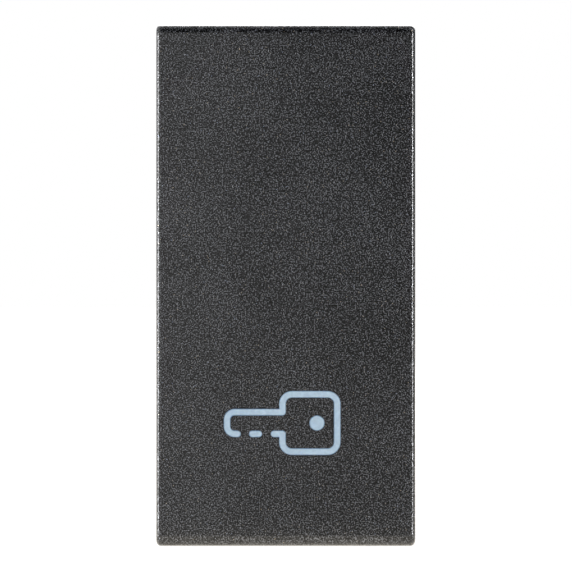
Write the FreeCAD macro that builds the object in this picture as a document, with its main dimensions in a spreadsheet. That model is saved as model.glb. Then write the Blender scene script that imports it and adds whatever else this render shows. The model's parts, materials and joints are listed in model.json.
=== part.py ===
import FreeCAD, Part

import math
import os
import re

import Sketcher
from FreeCAD import Placement, Rotation, Vector

# Illuminated push button of a 45 mm modular wiring system, one half module wide.
# X is to the right, Y goes back into the wall and Z is up. The origin is the middle of the
# plane on which the button sits in its frame. "Forward" below means a distance towards the user.

SIZES = [
    # Push key
    ("key_width", 22.3, "width of the push key"),
    ("key_height", 44.9, "height of the push key"),
    ("key_front", 10.0, "front face ahead of the frame seat"),
    ("key_plate", 1.6, "thickness of the front plate"),
    ("key_side_wall", 1.1, "thickness of the long skirt walls"),
    ("key_end_wall", 1.2, "thickness of the short skirt walls"),
    ("skirt_gap", 2.4, "room behind the skirt for the key's travel"),
    ("key_side_round", 0.4, "rounding of the long edges"),
    ("key_top_round", 0.8, "rounding of the upper front edge"),
    ("key_bottom_round", 0.95, "rounding of the lower front edge"),
    ("claw_offset", 3.6, "claws of the cover, from the middle line"),
    ("claw_inset", 1.2, "claws inside the carrier's ends"),
    ("claw_width", 2.4, "width of a claw"),
    ("claw_thickness", 0.8, "thickness of a claw"),
    ("claw_catch", 0.4, "reach of a claw's hook"),
    ("claw_hook", 0.5, "depth of a claw's hook"),
    ("claw_seat", 0.05, "hook behind the carrier"),
    ("claw_gap", 0.1, "room round a claw in its slot"),
    # Symbol: a door key, drawn by the middle line of its stroke
    ("symbol_stroke", 0.58, "width of the stroke"),
    ("symbol_fit", 0.01, "gap between the stroke and its cut-out"),
    ("bow_left", -0.29, "left side of the bow"),
    ("symbol_rise", 10.635, "middle of the symbol above the key's lower edge"),
    ("bow_width", 4.71, "width of the bow"),
    ("bow_height", 4.93, "height of the bow"),
    ("bow_corner", 0.82, "corner radius of the bow"),
    ("shank_length", 4.76, "length of the shank"),
    ("shank_height", 1.87, "height of the shank"),
    ("shank_corner", 0.66, "corner radius at the shank's tip"),
    ("bit_lead", 0.90, "lower stroke from the tip to the first gap"),
    ("bit_gap", 1.27, "length of the first gap"),
    ("bit_dash", 0.55, "length of the short dash"),
    ("bit_root", 0.72, "lower stroke from the bow to the second gap"),
    ("dot_offset", 2.97, "hole of the bow, from the bow's left side"),
    ("dot_radius", 0.65, "radius of the bow's hole"),
    ("guide_plate", 1.0, "thickness of the light guide's plate"),
    ("guide_gap", 0.2, "room round the light guide in the carrier"),
    ("window_margin", 0.6, "light window beyond the symbol"),
    ("window_corner", 0.5, "corner radius of the light window"),
    # Key carrier and its hinge
    ("carrier_plate", 1.5, "thickness of the carrier"),
    ("carrier_side_gap", 0.45, "room beside the carrier in the collar"),
    ("carrier_end_gap", 0.5, "room above and below the carrier"),
    ("carrier_corner", 1.0, "corner radius of the carrier"),
    ("hinge_drop", 6.95, "hinge pins below the key's upper edge"),
    ("hinge_gap", 0.3, "room between a hinge cheek and the flange"),
    ("pin_radius", 1.2, "radius of a hinge pin"),
    ("pin_clearance", 0.05, "running clearance round a pin"),
    ("pin_end_gap", 0.1, "pin end inside the collar's outer face"),
    ("pin_chamfer", 0.3, "chamfer of a pin's end"),
    ("cheek_thickness", 1.4, "thickness of a hinge cheek"),
    ("cheek_radius", 1.9, "reach of a hinge cheek round its pin"),
    ("cheek_corner", 1.3, "corner radius of a hinge cheek"),
    ("nub_radius", 1.05, "radius of the nub that presses the plunger"),
    ("nub_width", 6.0, "width of the nub"),
    ("leg_rise", 4.45, "middle of the stop legs above the carrier's lower end"),
    ("leg_width", 2.5, "width of a stop leg"),
    ("leg_thickness", 1.0, "thickness of a stop leg"),
    ("leg_inset", 0.4, "stop leg inside the carrier's edge"),
    ("leg_catch", 0.6, "reach of a stop leg's hook"),
    ("leg_hook", 1.2, "depth of a stop leg's hook"),
    ("leg_ramp", 0.45, "ramp on a stop leg's hook"),
    ("leg_gap", 0.1, "room round a stop leg in its slot"),
    ("leg_bend", 0.7, "room to bend a stop leg while it is fitted"),
    ("leg_swing", 0.45, "room above a stop leg for the key's swing"),
    ("stop_gap", 0.05, "hook behind the deck at rest"),
    ("rib_inset", 1.8, "stiffening ribs inside the carrier's sides"),
    ("rib_thickness", 1.0, "thickness of a stiffening rib"),
    ("rib_depth", 1.2, "depth of a stiffening rib"),
    ("rib_drop", 3.0, "upper end of the ribs below the hinge"),
    ("rib_gap", 1.0, "lower end of the ribs above the light window"),
    # Front chassis
    ("flange_inset", 0.1, "flange inside the key, at each side"),
    ("flange_end_inset", 0.2, "flange inside the key, at each end"),
    ("flange_thickness", 1.8, "thickness of the flange"),
    ("flange_corner", 0.5, "corner radius of the flange"),
    ("plateau", 1.0, "step behind the flange for the housing"),
    ("plateau_margin", 0.1, "step beyond the housing's ends"),
    ("collar_gap", 0.3, "room between key skirt and collar, sides"),
    ("collar_end_gap", 1.55, "room between key skirt and collar, ends"),
    ("collar_wall", 1.0, "thickness of the collar"),
    ("collar_headroom", 2.4, "room between the collar and the cover"),
    ("collar_corner", 1.4, "outer corner radius of the collar"),
    ("snap_arm_width", 9.0, "width of a frame snap arm"),
    ("snap_arm_thickness", 1.1, "thickness of a frame snap arm"),
    ("snap_arm_length", 8.0, "length of a frame snap arm"),
    ("snap_arm_gap", 0.6, "room between snap arm and housing"),
    ("nose_start", 2.2, "catch of the snap nose behind the seat"),
    ("nose_reach", 1.1, "reach of the snap nose"),
    ("nose_land", 1.0, "flat top of the snap nose"),
    ("nose_gap", 0.2, "mould window beyond the nose"),
    ("latch_width", 8.0, "width of a housing latch"),
    ("latch_thickness", 0.8, "thickness of a housing latch"),
    ("latch_length", 8.3, "length of a housing latch"),
    ("latch_gap", 0.08, "room behind a housing latch"),
    ("latch_inset", 0.02, "latch inside the housing's side face"),
    ("latch_window_start", 4.5, "latch window behind the plateau"),
    ("latch_window_depth", 2.0, "latch window, front to back"),
    ("latch_window_width", 4.4, "width of a latch window"),
    ("latch_play", 0.1, "play of the bump in its window"),
    ("bump_lead", 0.15, "low end of the bump's ramp"),
    ("bump_inset", 0.1, "top of the bump inside the latch's face"),
    # Push contact
    ("head_side_gap", 0.6, "room between the plunger's head and the light pipe"),
    ("stem_radius", 2.6, "radius of the plunger's stem"),
    ("stem_clearance", 0.05, "running clearance of the stem"),
    ("head_radius", 3.6, "radius of the plunger's head"),
    ("head_thickness", 1.04, "thickness of the plunger's head"),
    ("head_gap", 0.06, "plunger's head under the nub"),
    ("head_chamfer", 0.3, "chamfer of the plunger's head"),
    ("guide_wall", 0.8, "wall of the stem's guide bush"),
    ("guide_length", 2.4, "length of the bush behind the deck"),
    ("spring_seat", 0.4, "depth of the return spring's seat"),
    ("seat_gap", 0.15, "room round the return spring in its seat"),
    ("return_wire", 0.22, "wire radius of the return spring"),
    ("return_gap", 0.28, "return spring outside the stem"),
    ("return_turns", 3.0, "turns of the return spring"),
    ("end_gap", 0.02, "spring end off its seat"),
    ("bridge_end", 0.35, "contact bridge beyond its tips"),
    ("bridge_width", 3.2, "width of the contact bridge"),
    ("bridge_thickness", 0.5, "thickness of the contact bridge"),
    ("bridge_corner", 0.8, "corner radius of the contact bridge"),
    ("bridge_play", 0.05, "bridge in the stem's window"),
    ("bridge_spring_length", 2.3, "length of the bridge spring"),
    ("bridge_spring_radius", 1.1, "mean radius of the bridge spring"),
    ("bridge_wire", 0.15, "wire radius of the bridge spring"),
    ("bridge_turns", 2.5, "turns of the bridge spring"),
    ("stem_end", 1.15, "stem behind its window"),
    ("contact_offset", 5.2, "contact tips, from the middle line"),
    ("bridge_tip_radius", 1.25, "radius of a moving contact tip"),
    ("bridge_tip_thickness", 0.45, "thickness of a moving contact tip"),
    ("fixed_tip_radius", 1.4, "radius of a fixed contact tip"),
    ("fixed_tip_thickness", 0.6, "thickness of a fixed contact tip"),
    ("contact_gap", 1.1, "open gap of the contact"),
    ("tip_chamfer", 0.15, "chamfer of the contact tips"),
    # Rear housing
    ("housing_inset", 0.35, "rear housing inside the key, at each side"),
    ("housing_end_inset", 3.95, "rear housing inside the key, at each end"),
    ("housing_depth", 22.0, "rear edge behind the frame seat"),
    ("housing_wall", 1.5, "wall of the rear housing"),
    ("housing_corner", 1.0, "corner radius of the rear housing"),
    ("room_corner", 0.5, "corner radius inside the contact room"),
    ("partition_depth", 9.6, "partition behind the frame seat"),
    ("partition_thickness", 1.2, "thickness of the partition"),
    ("divider", 1.2, "thickness of the chamber dividers"),
    ("recess_gap", 0.2, "room beside a latch in its recess"),
    ("recess_end_gap", 0.7, "room behind a latch in its recess"),
    ("slot_gap", 0.15, "room round a strip in the partition"),
    ("spacer_height", 0.25, "height of a spacer rib on the housing"),
    ("spacer_width", 0.8, "width of a spacer rib"),
    ("spacer_end_inset", 8.0, "ribs of the side walls inside the housing's ends"),
    ("spacer_side_inset", 3.4, "ribs of the end walls inside the housing's sides"),
    ("spacer_start", 1.6, "spacer ribs behind the plateau"),
    ("spacer_end", 1.0, "spacer ribs ahead of the housing's rear edge"),
    # Terminal cover
    ("cover_thickness", 2.0, "thickness of the terminal cover"),
    ("cover_inset", 0.15, "terminal cover inside the housing's outline"),
    ("cover_chamfer", 0.5, "chamfer round the cover's rear edge"),
    ("entry_funnel", 0.4, "funnel of a wire entry"),
    ("tongue_width", 4.4, "width of a cover tongue"),
    ("tongue_thickness", 0.9, "thickness of a cover tongue"),
    ("tongue_length", 5.0, "length of a cover tongue"),
    ("tongue_gap", 0.1, "room between a tongue and the end wall"),
    ("tongue_bump", 0.6, "reach of a tongue's bump"),
    ("tongue_bump_depth", 1.6, "depth of a tongue's bump"),
    ("tongue_ramp", 0.5, "ramp on a tongue's bump"),
    ("tongue_play", 0.15, "play of a tongue's bump in its window"),
    # Terminals
    ("wire_offset", 5.2, "wire entries, from the middle line"),
    ("wire_radius", 1.7, "radius of a wire entry"),
    ("wire_room", 0.2, "busbar below the wire entry"),
    ("strip_thickness", 0.8, "thickness of the busbars"),
    ("strip_width", 3.4, "width of a busbar's arm"),
    ("strip_bend", 0.5, "inner bend radius of a busbar"),
    ("busbar_front_gap", 0.6, "busbar's plate behind the partition"),
    ("busbar_rear_gap", 1.5, "busbar's plate ahead of the terminal cover"),
    ("busbar_side_gap", 0.4, "busbar off the chamber's side wall"),
    ("ledge_width", 2.3, "width of the chamber's side ledges"),
    ("arm_overlap", 1.9, "end of an arm beyond the middle of its contact"),
    ("clamp_width", 4.0, "width of a clamp spring"),
    ("clamp_thickness", 0.4, "thickness of a clamp spring"),
    ("clamp_front_gap", 1.4, "back leg of a clamp spring behind the partition"),
    ("clamp_rear_gap", 2.4, "middle of a clamp spring's bend ahead of the cover"),
    ("clamp_bend", 0.9, "bend radius of a clamp spring"),
    ("clamp_tip_start", 2.8, "tip of the clamping leg behind the partition"),
    ("clamp_tip_gap", 0.1, "tip above the busbar"),
    # Release levers
    ("lever_width", 3.0, "width of a release lever"),
    ("lever_height", 2.2, "height of a release lever"),
    ("lever_gap", 0.15, "room between a lever and its clamp springs"),
    ("lever_proud", 1.0, "lever behind the cover"),
    ("lever_fit", 0.1, "lever in its slot"),
    ("lever_bar_inset", 0.2, "crossbar inside the clamp springs' outer edges"),
    ("lever_bar_depth", 1.7, "lever's rod ahead of its crossbar's rear face"),
    ("lever_notch", 0.6, "screwdriver notch in a lever"),
    ("lever_notch_depth", 0.5, "depth of the notch"),
    # Lamp
    ("board_side_gap", 0.9, "room between the lamp board and the stop legs"),
    ("board_rise", 3.0, "upper edge of the lamp board above the lamp's middle"),
    ("board_drop", 3.6, "lower edge of the lamp board below the lamp's middle"),
    ("board_standoff", 1.5, "lamp board behind the deck"),
    ("board_thickness", 1.2, "thickness of the lamp board"),
    ("peg_radius", 0.9, "radius of a board peg"),
    ("peg_pin_radius", 0.5, "radius of a peg's pin"),
    ("peg_clearance", 0.05, "pin in the board"),
    ("peg_pin_proud", 0.5, "pin behind the board"),
    ("peg_end_inset", 1.3, "pegs inside the board's upper and lower edges"),
    ("peg_side_inset", 1.0, "pegs inside the board's sides"),
    ("led_width", 3.2, "width of the lamp's case"),
    ("led_height", 2.8, "height of the lamp's case"),
    ("led_depth", 1.4, "depth of the lamp's case"),
    ("led_corner", 0.35, "corner radius of the lamp's case"),
    ("led_cup", 1.1, "radius of the lamp's cup"),
    ("led_cup_depth", 0.5, "depth of the lamp's cup"),
    ("resistor_radius", 0.85, "radius of the resistor's ends"),
    ("resistor_waist", 0.7, "radius of the resistor's middle"),
    ("resistor_length", 4.4, "length of the resistor"),
    ("resistor_cap", 0.9, "length of a resistor's end cap"),
    ("resistor_drop", 2.4, "resistor below the lamp's middle"),
    ("resistor_lead", 0.28, "radius of the resistor's leads"),
    ("resistor_reach", 3.0, "leads, from the middle line"),
    ("resistor_gap", 0.1, "resistor off the board"),
    ("lamp_spring_inset", 0.9, "lamp springs inside the contact tips"),
    ("lamp_spring_rise", 0.2, "lamp springs above the lamp's middle"),
    ("lamp_spring_radius", 0.8, "mean radius of a lamp spring"),
    ("lamp_wire", 0.15, "wire radius of a lamp spring"),
    ("lamp_turns", 3.0, "turns of a lamp spring"),
    ("pipe_gap", 0.3, "light pipe in front of the lamp"),
    ("pipe_stem_width", 5.0, "width of the light pipe's stem"),
    ("pipe_stem_height", 4.0, "height of the light pipe's stem"),
    ("pipe_fit", 0.1, "light pipe's stem in the deck"),
    ("pipe_flange", 0.8, "thickness of the light pipe's flange"),
    ("pipe_flange_reach", 0.8, "flange beyond the stem"),
    ("pipe_side_gap", 0.5, "room between the light pipe and the slots of the stop legs"),
    ("pipe_margin", 0.3, "light pipe inside the edges of the light window"),
    ("pipe_headroom", 2.0, "room ahead of the light pipe for the key's travel"),
]

# Places and sizes that follow from the ones above
PLACES = {
    "key_back": "key_front - key_plate",
    "skirt_back": "flange_thickness + skirt_gap",
    "shank_tip": "bow_left - shank_length",
    "symbol_left": "shank_tip - symbol_stroke / 2",
    "symbol_right": "bow_left + bow_width + symbol_stroke / 2",
    "symbol_half_height": "(bow_height + symbol_stroke) / 2",
    "bow_middle": "symbol_rise - key_height / 2",
    "shank_top": "bow_middle + shank_height / 2",
    "shank_bottom": "bow_middle - shank_height / 2",
    "window_left": "symbol_left - window_margin",
    "window_right": "symbol_right + window_margin",
    "window_top": "bow_middle + symbol_half_height + window_margin",
    "window_bottom": "bow_middle - symbol_half_height - window_margin",
    "collar_half_width": "key_width / 2 - key_side_wall - collar_gap",
    "collar_half_height": "key_height / 2 - key_end_wall - collar_end_gap",
    "collar_front": "key_back - collar_headroom",
    "bay_half_width": "collar_half_width - collar_wall",
    "bay_half_height": "collar_half_height - collar_wall",
    "carrier_half_width": "bay_half_width - carrier_side_gap",
    "carrier_half_height": "bay_half_height - carrier_end_gap",
    "carrier_back": "key_back - carrier_plate",
    "claw_height": "carrier_half_height - claw_inset",
    "hinge_height": "key_height / 2 - hinge_drop",
    "hinge_forward": "flange_thickness + hinge_gap + cheek_radius",
    "rib_offset": "carrier_half_width - rib_inset",
    "rib_top": "hinge_height - rib_drop",
    "rib_bottom": "window_top + rib_gap",
    "leg_height": "leg_rise - carrier_half_height",
    "leg_outer": "carrier_half_width - leg_inset",
    "leg_inner": "leg_outer - leg_thickness",
    "leg_end": "plateau + stop_gap + leg_hook",
    "slot_outer": "leg_outer + leg_gap",
    "slot_inner": "leg_inner - leg_bend",
    "flange_half_width": "key_width / 2 - flange_inset",
    "flange_half_height": "key_height / 2 - flange_end_inset",
    "housing_half_width": "key_width / 2 - housing_inset",
    "housing_half_height": "key_height / 2 - housing_end_inset",
    "plateau_half_height": "housing_half_height + plateau_margin",
    "inner_half_width": "housing_half_width - housing_wall",
    "inner_half_height": "housing_half_height - housing_wall",
    "spacer_rise": "housing_half_height - spacer_end_inset",
    "spacer_offset": "housing_half_width - spacer_side_inset",
    "snap_inner": "housing_half_height + snap_arm_gap",
    "snap_outer": "snap_inner + snap_arm_thickness",
    "snap_window_outer": "snap_outer + nose_reach + nose_gap",
    "latch_outer": "housing_half_width - latch_inset",
    "latch_inner": "latch_outer - latch_thickness",
    "recess_face": "latch_inner - latch_gap",
    "lamp_height": "bow_middle",
    "pipe_left": "max(window_left + pipe_margin; pipe_side_gap - slot_inner)",
    "pipe_right": "min(window_right - pipe_margin; slot_inner - pipe_side_gap)",
    "pipe_half_height": "symbol_half_height + window_margin - pipe_margin",
    "pipe_front": "key_back - guide_plate - pipe_headroom",
    "pipe_back": "led_front - pipe_gap",
    "nub_back": "key_back - 2 * nub_radius",
    "plunger_height": "lamp_height + pipe_half_height + head_side_gap + head_radius",
    "head_front": "nub_back - head_gap",
    "head_back": "head_front - head_thickness",
    "strip_front": "partition_depth - strip_thickness",
    "fixed_tip_front": "strip_front - fixed_tip_thickness",
    "bridge_tip_back": "fixed_tip_front - contact_gap",
    "bridge_back": "bridge_tip_back - bridge_tip_thickness",
    "bridge_front": "bridge_back - bridge_thickness",
    "bridge_half_length": "contact_offset + bridge_tip_radius + bridge_end",
    "stem_window_front": "bridge_front - bridge_spring_length",
    "stem_window_back": "bridge_back + bridge_play",
    "stem_back": "stem_window_back + stem_end",
    "partition_back": "partition_depth + partition_thickness",
    "terminal_pitch": "(2 * inner_half_height + divider) / 3",
    "chamber_half_height": "(terminal_pitch - divider) / 2",
    "busbar_top": "-(wire_radius + wire_room)",
    "busbar_bottom": "busbar_top - strip_thickness",
    "busbar_half_width": "inner_half_width - busbar_side_gap",
    "busbar_start": "partition_back + busbar_front_gap",
    "busbar_end": "housing_depth - busbar_rear_gap",
    "cover_back": "housing_depth + cover_thickness",
    "tongue_outer": "inner_half_height - tongue_gap",
    "clamp_front": "partition_back + clamp_front_gap",
    "clamp_rear": "housing_depth - clamp_rear_gap",
    "clamp_tip": "partition_back + clamp_tip_start",
    "clamp_centre": "chamber_half_height - clamp_thickness / 2 - clamp_bend",
    "clamp_tip_height": "busbar_top + clamp_thickness / 2 + clamp_tip_gap",
    "clamp_rise": "clamp_centre - clamp_tip_height",
    "clamp_run": "clamp_rear - clamp_tip",
    "clamp_slope": "atan(clamp_rise / clamp_run) - asin(clamp_bend / sqrt(clamp_rise ^ 2 + clamp_run ^ 2))",
    "clamp_face": "clamp_tip + (clamp_thickness / 2 + lever_gap) / sin(clamp_slope)",
    "lever_top": "clamp_centre - clamp_bend - clamp_thickness / 2 - lever_gap",
    "lever_bottom": "lever_top - lever_height",
    "lever_bar_bottom": "wire_radius + wire_room",
    "lever_bar_back": "housing_depth - lever_fit",
    "lever_bar_half_width": "wire_offset + clamp_width / 2 - lever_bar_inset",
    "board_half_width": "leg_inner - board_side_gap",
    "board_top": "lamp_height + board_rise",
    "board_bottom": "lamp_height - board_drop",
    "board_depth": "plateau + board_standoff",
    "board_back": "board_depth + board_thickness",
    "led_front": "board_depth - led_depth",
    "lamp_spring_offset": "contact_offset - lamp_spring_inset",
    "lamp_spring_height": "lamp_height + lamp_spring_rise",
}

TERMINALS = {"live": "terminal_pitch", "switched": "0", "neutral": "-terminal_pitch"}
BOTH = (-1, 1)

# Reach of a form into the one that it joins, and of a cut beyond the form that it opens.
# Neither changes the finished shape.
SINK = "0.2"
PAST = "1"

doc = FreeCAD.newDocument("push_button")
sheet = doc.addObject("Spreadsheet::Sheet", "sizes")
alias_names = {name for name, number, note in SIZES}


def fill_sheet():
    for row, (name, number, note) in enumerate(SIZES, start=1):
        sheet.set("A%d" % row, name)
        sheet.set("B%d" % row, str(number))
        sheet.setAlias("B%d" % row, name)
        sheet.set("C%d" % row, note)
    doc.recompute()


def formula(text):
    """Write a formula of size and place names as an expression on the sheet's cells."""
    def replace(match):
        word = match.group()
        if word in PLACES:
            return "(" + formula(PLACES[word]) + ")"
        if word in alias_names:
            return "sizes." + word
        return word
    return re.sub(r"[a-z][a-z_]*", replace, str(text))


def value(text):
    """The present value of a formula, in millimetres."""
    return float(sheet.evalExpression(formula(text)))


def bind(thing, attribute, text):
    thing.setExpression(attribute, formula(text))


# Sketches

def rectangle(left, bottom, right, top, corner=None):
    """The corners of an upright rectangle, with one radius for them all if it has one."""
    points = [(left, bottom), (right, bottom), (right, top), (left, top)]
    if corner is None:
        return points
    return [(x, y, corner) for x, y in points]


def centred(half_width, half_height, corner=None, x="0", y="0"):
    left = "%s - (%s)" % (x, half_width)
    right = "%s + %s" % (x, half_width)
    bottom = "%s - (%s)" % (y, half_height)
    top = "%s + %s" % (y, half_height)
    return rectangle(left, bottom, right, top, corner)


def circle(x, y, radius):
    return {"x": x, "y": y, "radius": radius}


def span(sign, inner, outer):
    """A stretch on one side of the middle line, as its lower and upper ends."""
    if sign > 0:
        return inner, outer
    return "-(%s)" % outer, "-(%s)" % inner


def fix_point(sketch, geometry, position, x, y):
    for kind, text in (("DistanceX", x), ("DistanceY", y)):
        number = sketch.addConstraint(Sketcher.Constraint(kind, -1, 1, geometry, position, value(text)))
        bind(sketch, "Constraints[%d]" % number, text)


def add_circle(sketch, round_one):
    centre = Vector(value(round_one["x"]), value(round_one["y"]), 0)
    radius = value(round_one["radius"])
    geometry = sketch.addGeometry(Part.Circle(centre, Vector(0, 0, 1), radius))
    fix_point(sketch, geometry, 3, round_one["x"], round_one["y"])
    number = sketch.addConstraint(Sketcher.Constraint("Radius", geometry, radius))
    bind(sketch, "Constraints[%d]" % number, round_one["radius"])


def unit_step(start, end):
    """Direction from one corner to the next, along one of the sketch's axes."""
    x = value(end[0]) - value(start[0])
    y = value(end[1]) - value(start[1])
    length = math.hypot(x, y)
    return x / length, y / length


def rounded_vertices(corners):
    """The points of an outline: a corner with a radius gives where its arc starts and ends."""
    vertices = []
    for index, corner in enumerate(corners):
        if len(corner) == 2:
            vertices.append((corner[0], corner[1], None))
            continue
        x, y, radius = corner
        step_in = unit_step(corners[index - 1], corner)
        step_out = unit_step(corner, corners[(index + 1) % len(corners)])
        turn = step_in[0] * step_out[1] - step_in[1] * step_out[0]
        vertices.append(("%s - %.0f * (%s)" % (x, step_in[0], radius),
                         "%s - %.0f * (%s)" % (y, step_in[1], radius), (radius, turn)))
        vertices.append(("%s + %.0f * (%s)" % (x, step_out[0], radius),
                         "%s + %.0f * (%s)" % (y, step_out[1], radius), None))
    return vertices


def add_arc(sketch, start, end, radius, turn):
    """A quarter arc between two points. It returns its number and which end comes first."""
    a = Vector(value(start[0]), value(start[1]), 0)
    b = Vector(value(end[0]), value(end[1]), 0)
    left_turn = turn > 0
    across = Vector(a.y - b.y, b.x - a.x, 0) * (0.5 if left_turn else -0.5)
    centre = (a + b) * 0.5 + across
    first, last = (a, b) if left_turn else (b, a)
    start_angle = math.atan2(first.y - centre.y, first.x - centre.x)
    end_angle = math.atan2(last.y - centre.y, last.x - centre.x)
    round_edge = Part.Circle(centre, Vector(0, 0, 1), value(radius))
    geometry = sketch.addGeometry(Part.ArcOfCircle(round_edge, start_angle, end_angle))
    number = sketch.addConstraint(Sketcher.Constraint("Radius", geometry, value(radius)))
    bind(sketch, "Constraints[%d]" % number, radius)
    return geometry, ((1, 2) if left_turn else (2, 1))


def add_outline(sketch, corners, closed=True):
    """Lines and quarter arcs through the corners, each point bound to the sheet."""
    vertices = rounded_vertices(corners)
    count = len(vertices) if closed else len(vertices) - 1
    stretches = []
    for index in range(count):
        start = vertices[index]
        end = vertices[(index + 1) % len(vertices)]
        if start[2]:
            geometry, ends = add_arc(sketch, start, end, start[2][0], start[2][1])
        else:
            line = Part.LineSegment(Vector(value(start[0]), value(start[1]), 0),
                                    Vector(value(end[0]), value(end[1]), 0))
            geometry, ends = sketch.addGeometry(line), (1, 2)
            fix_point(sketch, geometry, 1, start[0], start[1])
            if vertices[(index + 1) % len(vertices)][2] or (not closed and index == count - 1):
                fix_point(sketch, geometry, 2, end[0], end[1])
        stretches.append((geometry, ends))
    for index, (geometry, ends) in enumerate(stretches):
        if index + 1 == len(stretches) and not closed:
            break
        other, other_ends = stretches[(index + 1) % len(stretches)]
        sketch.addConstraint(Sketcher.Constraint("Coincident", geometry, ends[1], other, other_ends[0]))


def fill_sketch(sketch, shapes, closed=True):
    for shape in shapes:
        if isinstance(shape, dict):
            add_circle(sketch, shape)
        else:
            add_outline(sketch, shape, closed)
    return sketch


# Bodies and their features. Sketches on the front plane XZ look at the user: their third
# direction is forward. On YZ it is to the right, and the sketch's own x runs backwards.

def new_body(label):
    body = doc.addObject("PartDesign::Body", label)
    body.Label = label
    return body


def origin_plane(body, role):
    return next(item for item in body.Origin.OriginFeatures if item.Role == role)


def new_sketch(body, name, shapes, at="0", role="XZ_Plane", shift=None):
    sketch = body.newObject("Sketcher::SketchObject", body.Label + "_" + name)
    sketch.AttachmentSupport = [(origin_plane(body, role), "")]
    sketch.MapMode = "FlatFace"
    bind(sketch, "AttachmentOffset.Base.z", at)
    if shift is not None:
        bind(sketch, "AttachmentOffset.Base.y", shift)
    return fill_sketch(sketch, shapes)


def pad(body, name, shapes, start, end, role="XZ_Plane"):
    """Material from start to end along the sketch's third direction."""
    feature = body.newObject("PartDesign::Pad", body.Label + "_" + name + "_pad")
    feature.Profile = new_sketch(body, name, shapes, start, role)
    bind(feature, "Length", "(%s) - (%s)" % (end, start))
    return feature


def pocket(body, name, shapes, start, end, role="XZ_Plane"):
    """A cut from start to end along the sketch's third direction, made from the end backwards."""
    doc.recompute()
    before = body.Shape.Volume
    feature = body.newObject("PartDesign::Pocket", body.Label + "_" + name + "_cut")
    feature.Profile = new_sketch(body, name, shapes, end, role)
    bind(feature, "Length", "(%s) - (%s)" % (end, start))
    doc.recompute()
    if body.Shape.Volume >= before:
        raise RuntimeError("%s %s cuts nothing" % (body.Label, name))
    return feature


def revolve(body, name, outline, height, x="0"):
    """A turned form about a line that runs front to back at one place of the front view."""
    feature = body.newObject("PartDesign::Revolution", body.Label + "_" + name + "_turn")
    sketch = new_sketch(body, name, [outline], x, "YZ_Plane", height)
    feature.Profile = sketch
    feature.ReferenceAxis = (sketch, ["H_Axis"])
    feature.Angle = 360
    return feature


def edge_names(shape, wanted):
    """Names of the edges whose middle point meets a condition."""
    names = []
    for number, edge in enumerate(shape.Edges, start=1):
        middle = edge.valueAt((edge.FirstParameter + edge.LastParameter) / 2)
        if wanted(edge, middle):
            names.append("Edge%d" % number)
    return names


def dress(body, kind, name, radius, wanted):
    """A fillet or chamfer on the edges that meet a condition."""
    doc.recompute()
    names = edge_names(body.Shape, wanted)
    if not names:
        raise RuntimeError("%s %s finds no edge" % (body.Label, name))
    base = body.Tip
    feature = body.newObject("PartDesign::" + kind, body.Label + "_" + name)
    feature.Base = (base, names)
    bind(feature, "Radius" if kind == "Fillet" else "Size", radius)
    return feature


def near(a, text):
    return abs(a - value(text)) < 0.001


def is_straight(edge, direction):
    """Whether an edge is a straight line along X, Y or Z."""
    if edge.Curve.TypeId != "Part::GeomLine":
        return False
    return abs(getattr(edge.Curve.Direction, direction)) > 0.999


def wire_section(along, radius, wire):
    """The round section of a spring wire, drawn with a few flats of the same area."""
    flat_count = 6
    scale = math.sqrt(2 * math.pi / (flat_count * math.sin(2 * math.pi / flat_count)))
    points = []
    for step in range(flat_count):
        angle = 2 * math.pi * step / flat_count
        x = "%s + %.6f * (%s)" % (along, scale * math.sin(angle), wire)
        y = "%s + %.6f * (%s)" % (radius, scale * math.cos(angle), wire)
        points.append((x, y))
    return points


def coil_spring(label, start, end, mean_radius, wire, turns, height, x="0"):
    """A coil spring between two depths behind the seat, on an axis from front to back."""
    body = new_body(label)
    reach = "%s + end_gap" % wire
    section = wire_section("%s + %s" % (start, reach), mean_radius, wire)
    sketch = new_sketch(body, "wire", [section], x, "YZ_Plane", height)
    coil = body.newObject("PartDesign::AdditiveHelix", label + "_coil")
    coil.Profile = sketch
    coil.ReferenceAxis = (sketch, ["H_Axis"])
    coil.Mode = "height-turns-angle"
    bind(coil, "Height", "(%s) - (%s) - 2 * (%s)" % (end, start, reach))
    bind(coil, "Turns", turns)
    return body


# Symbol of the key: strokes with round ends

def front_sketch(name, start):
    """A sketch on a front plane at one forward distance."""
    sketch = doc.addObject("Sketcher::SketchObject", name)
    sketch.Placement = Placement(Vector(0, -value(start), 0), Rotation(Vector(1, 0, 0), 90))
    bind(sketch, "Placement.Base.y", "-(%s)" % start)
    return sketch


def band_along(path, name, half_width):
    """A flat band of even width along an open path, with round ends."""
    band = doc.addObject("Part::Offset2D", name)
    band.Source = path
    band.Mode = "Pipe"
    band.Join = "Arc"
    bind(band, "Value", half_width)
    return band


def extrude(base, name, direction, length):
    solid = doc.addObject("Part::Extrusion", name)
    solid.Base = base
    solid.DirMode = "Custom"
    solid.Dir = direction
    solid.Solid = True
    bind(solid, "LengthFwd", length)
    return solid


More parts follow.
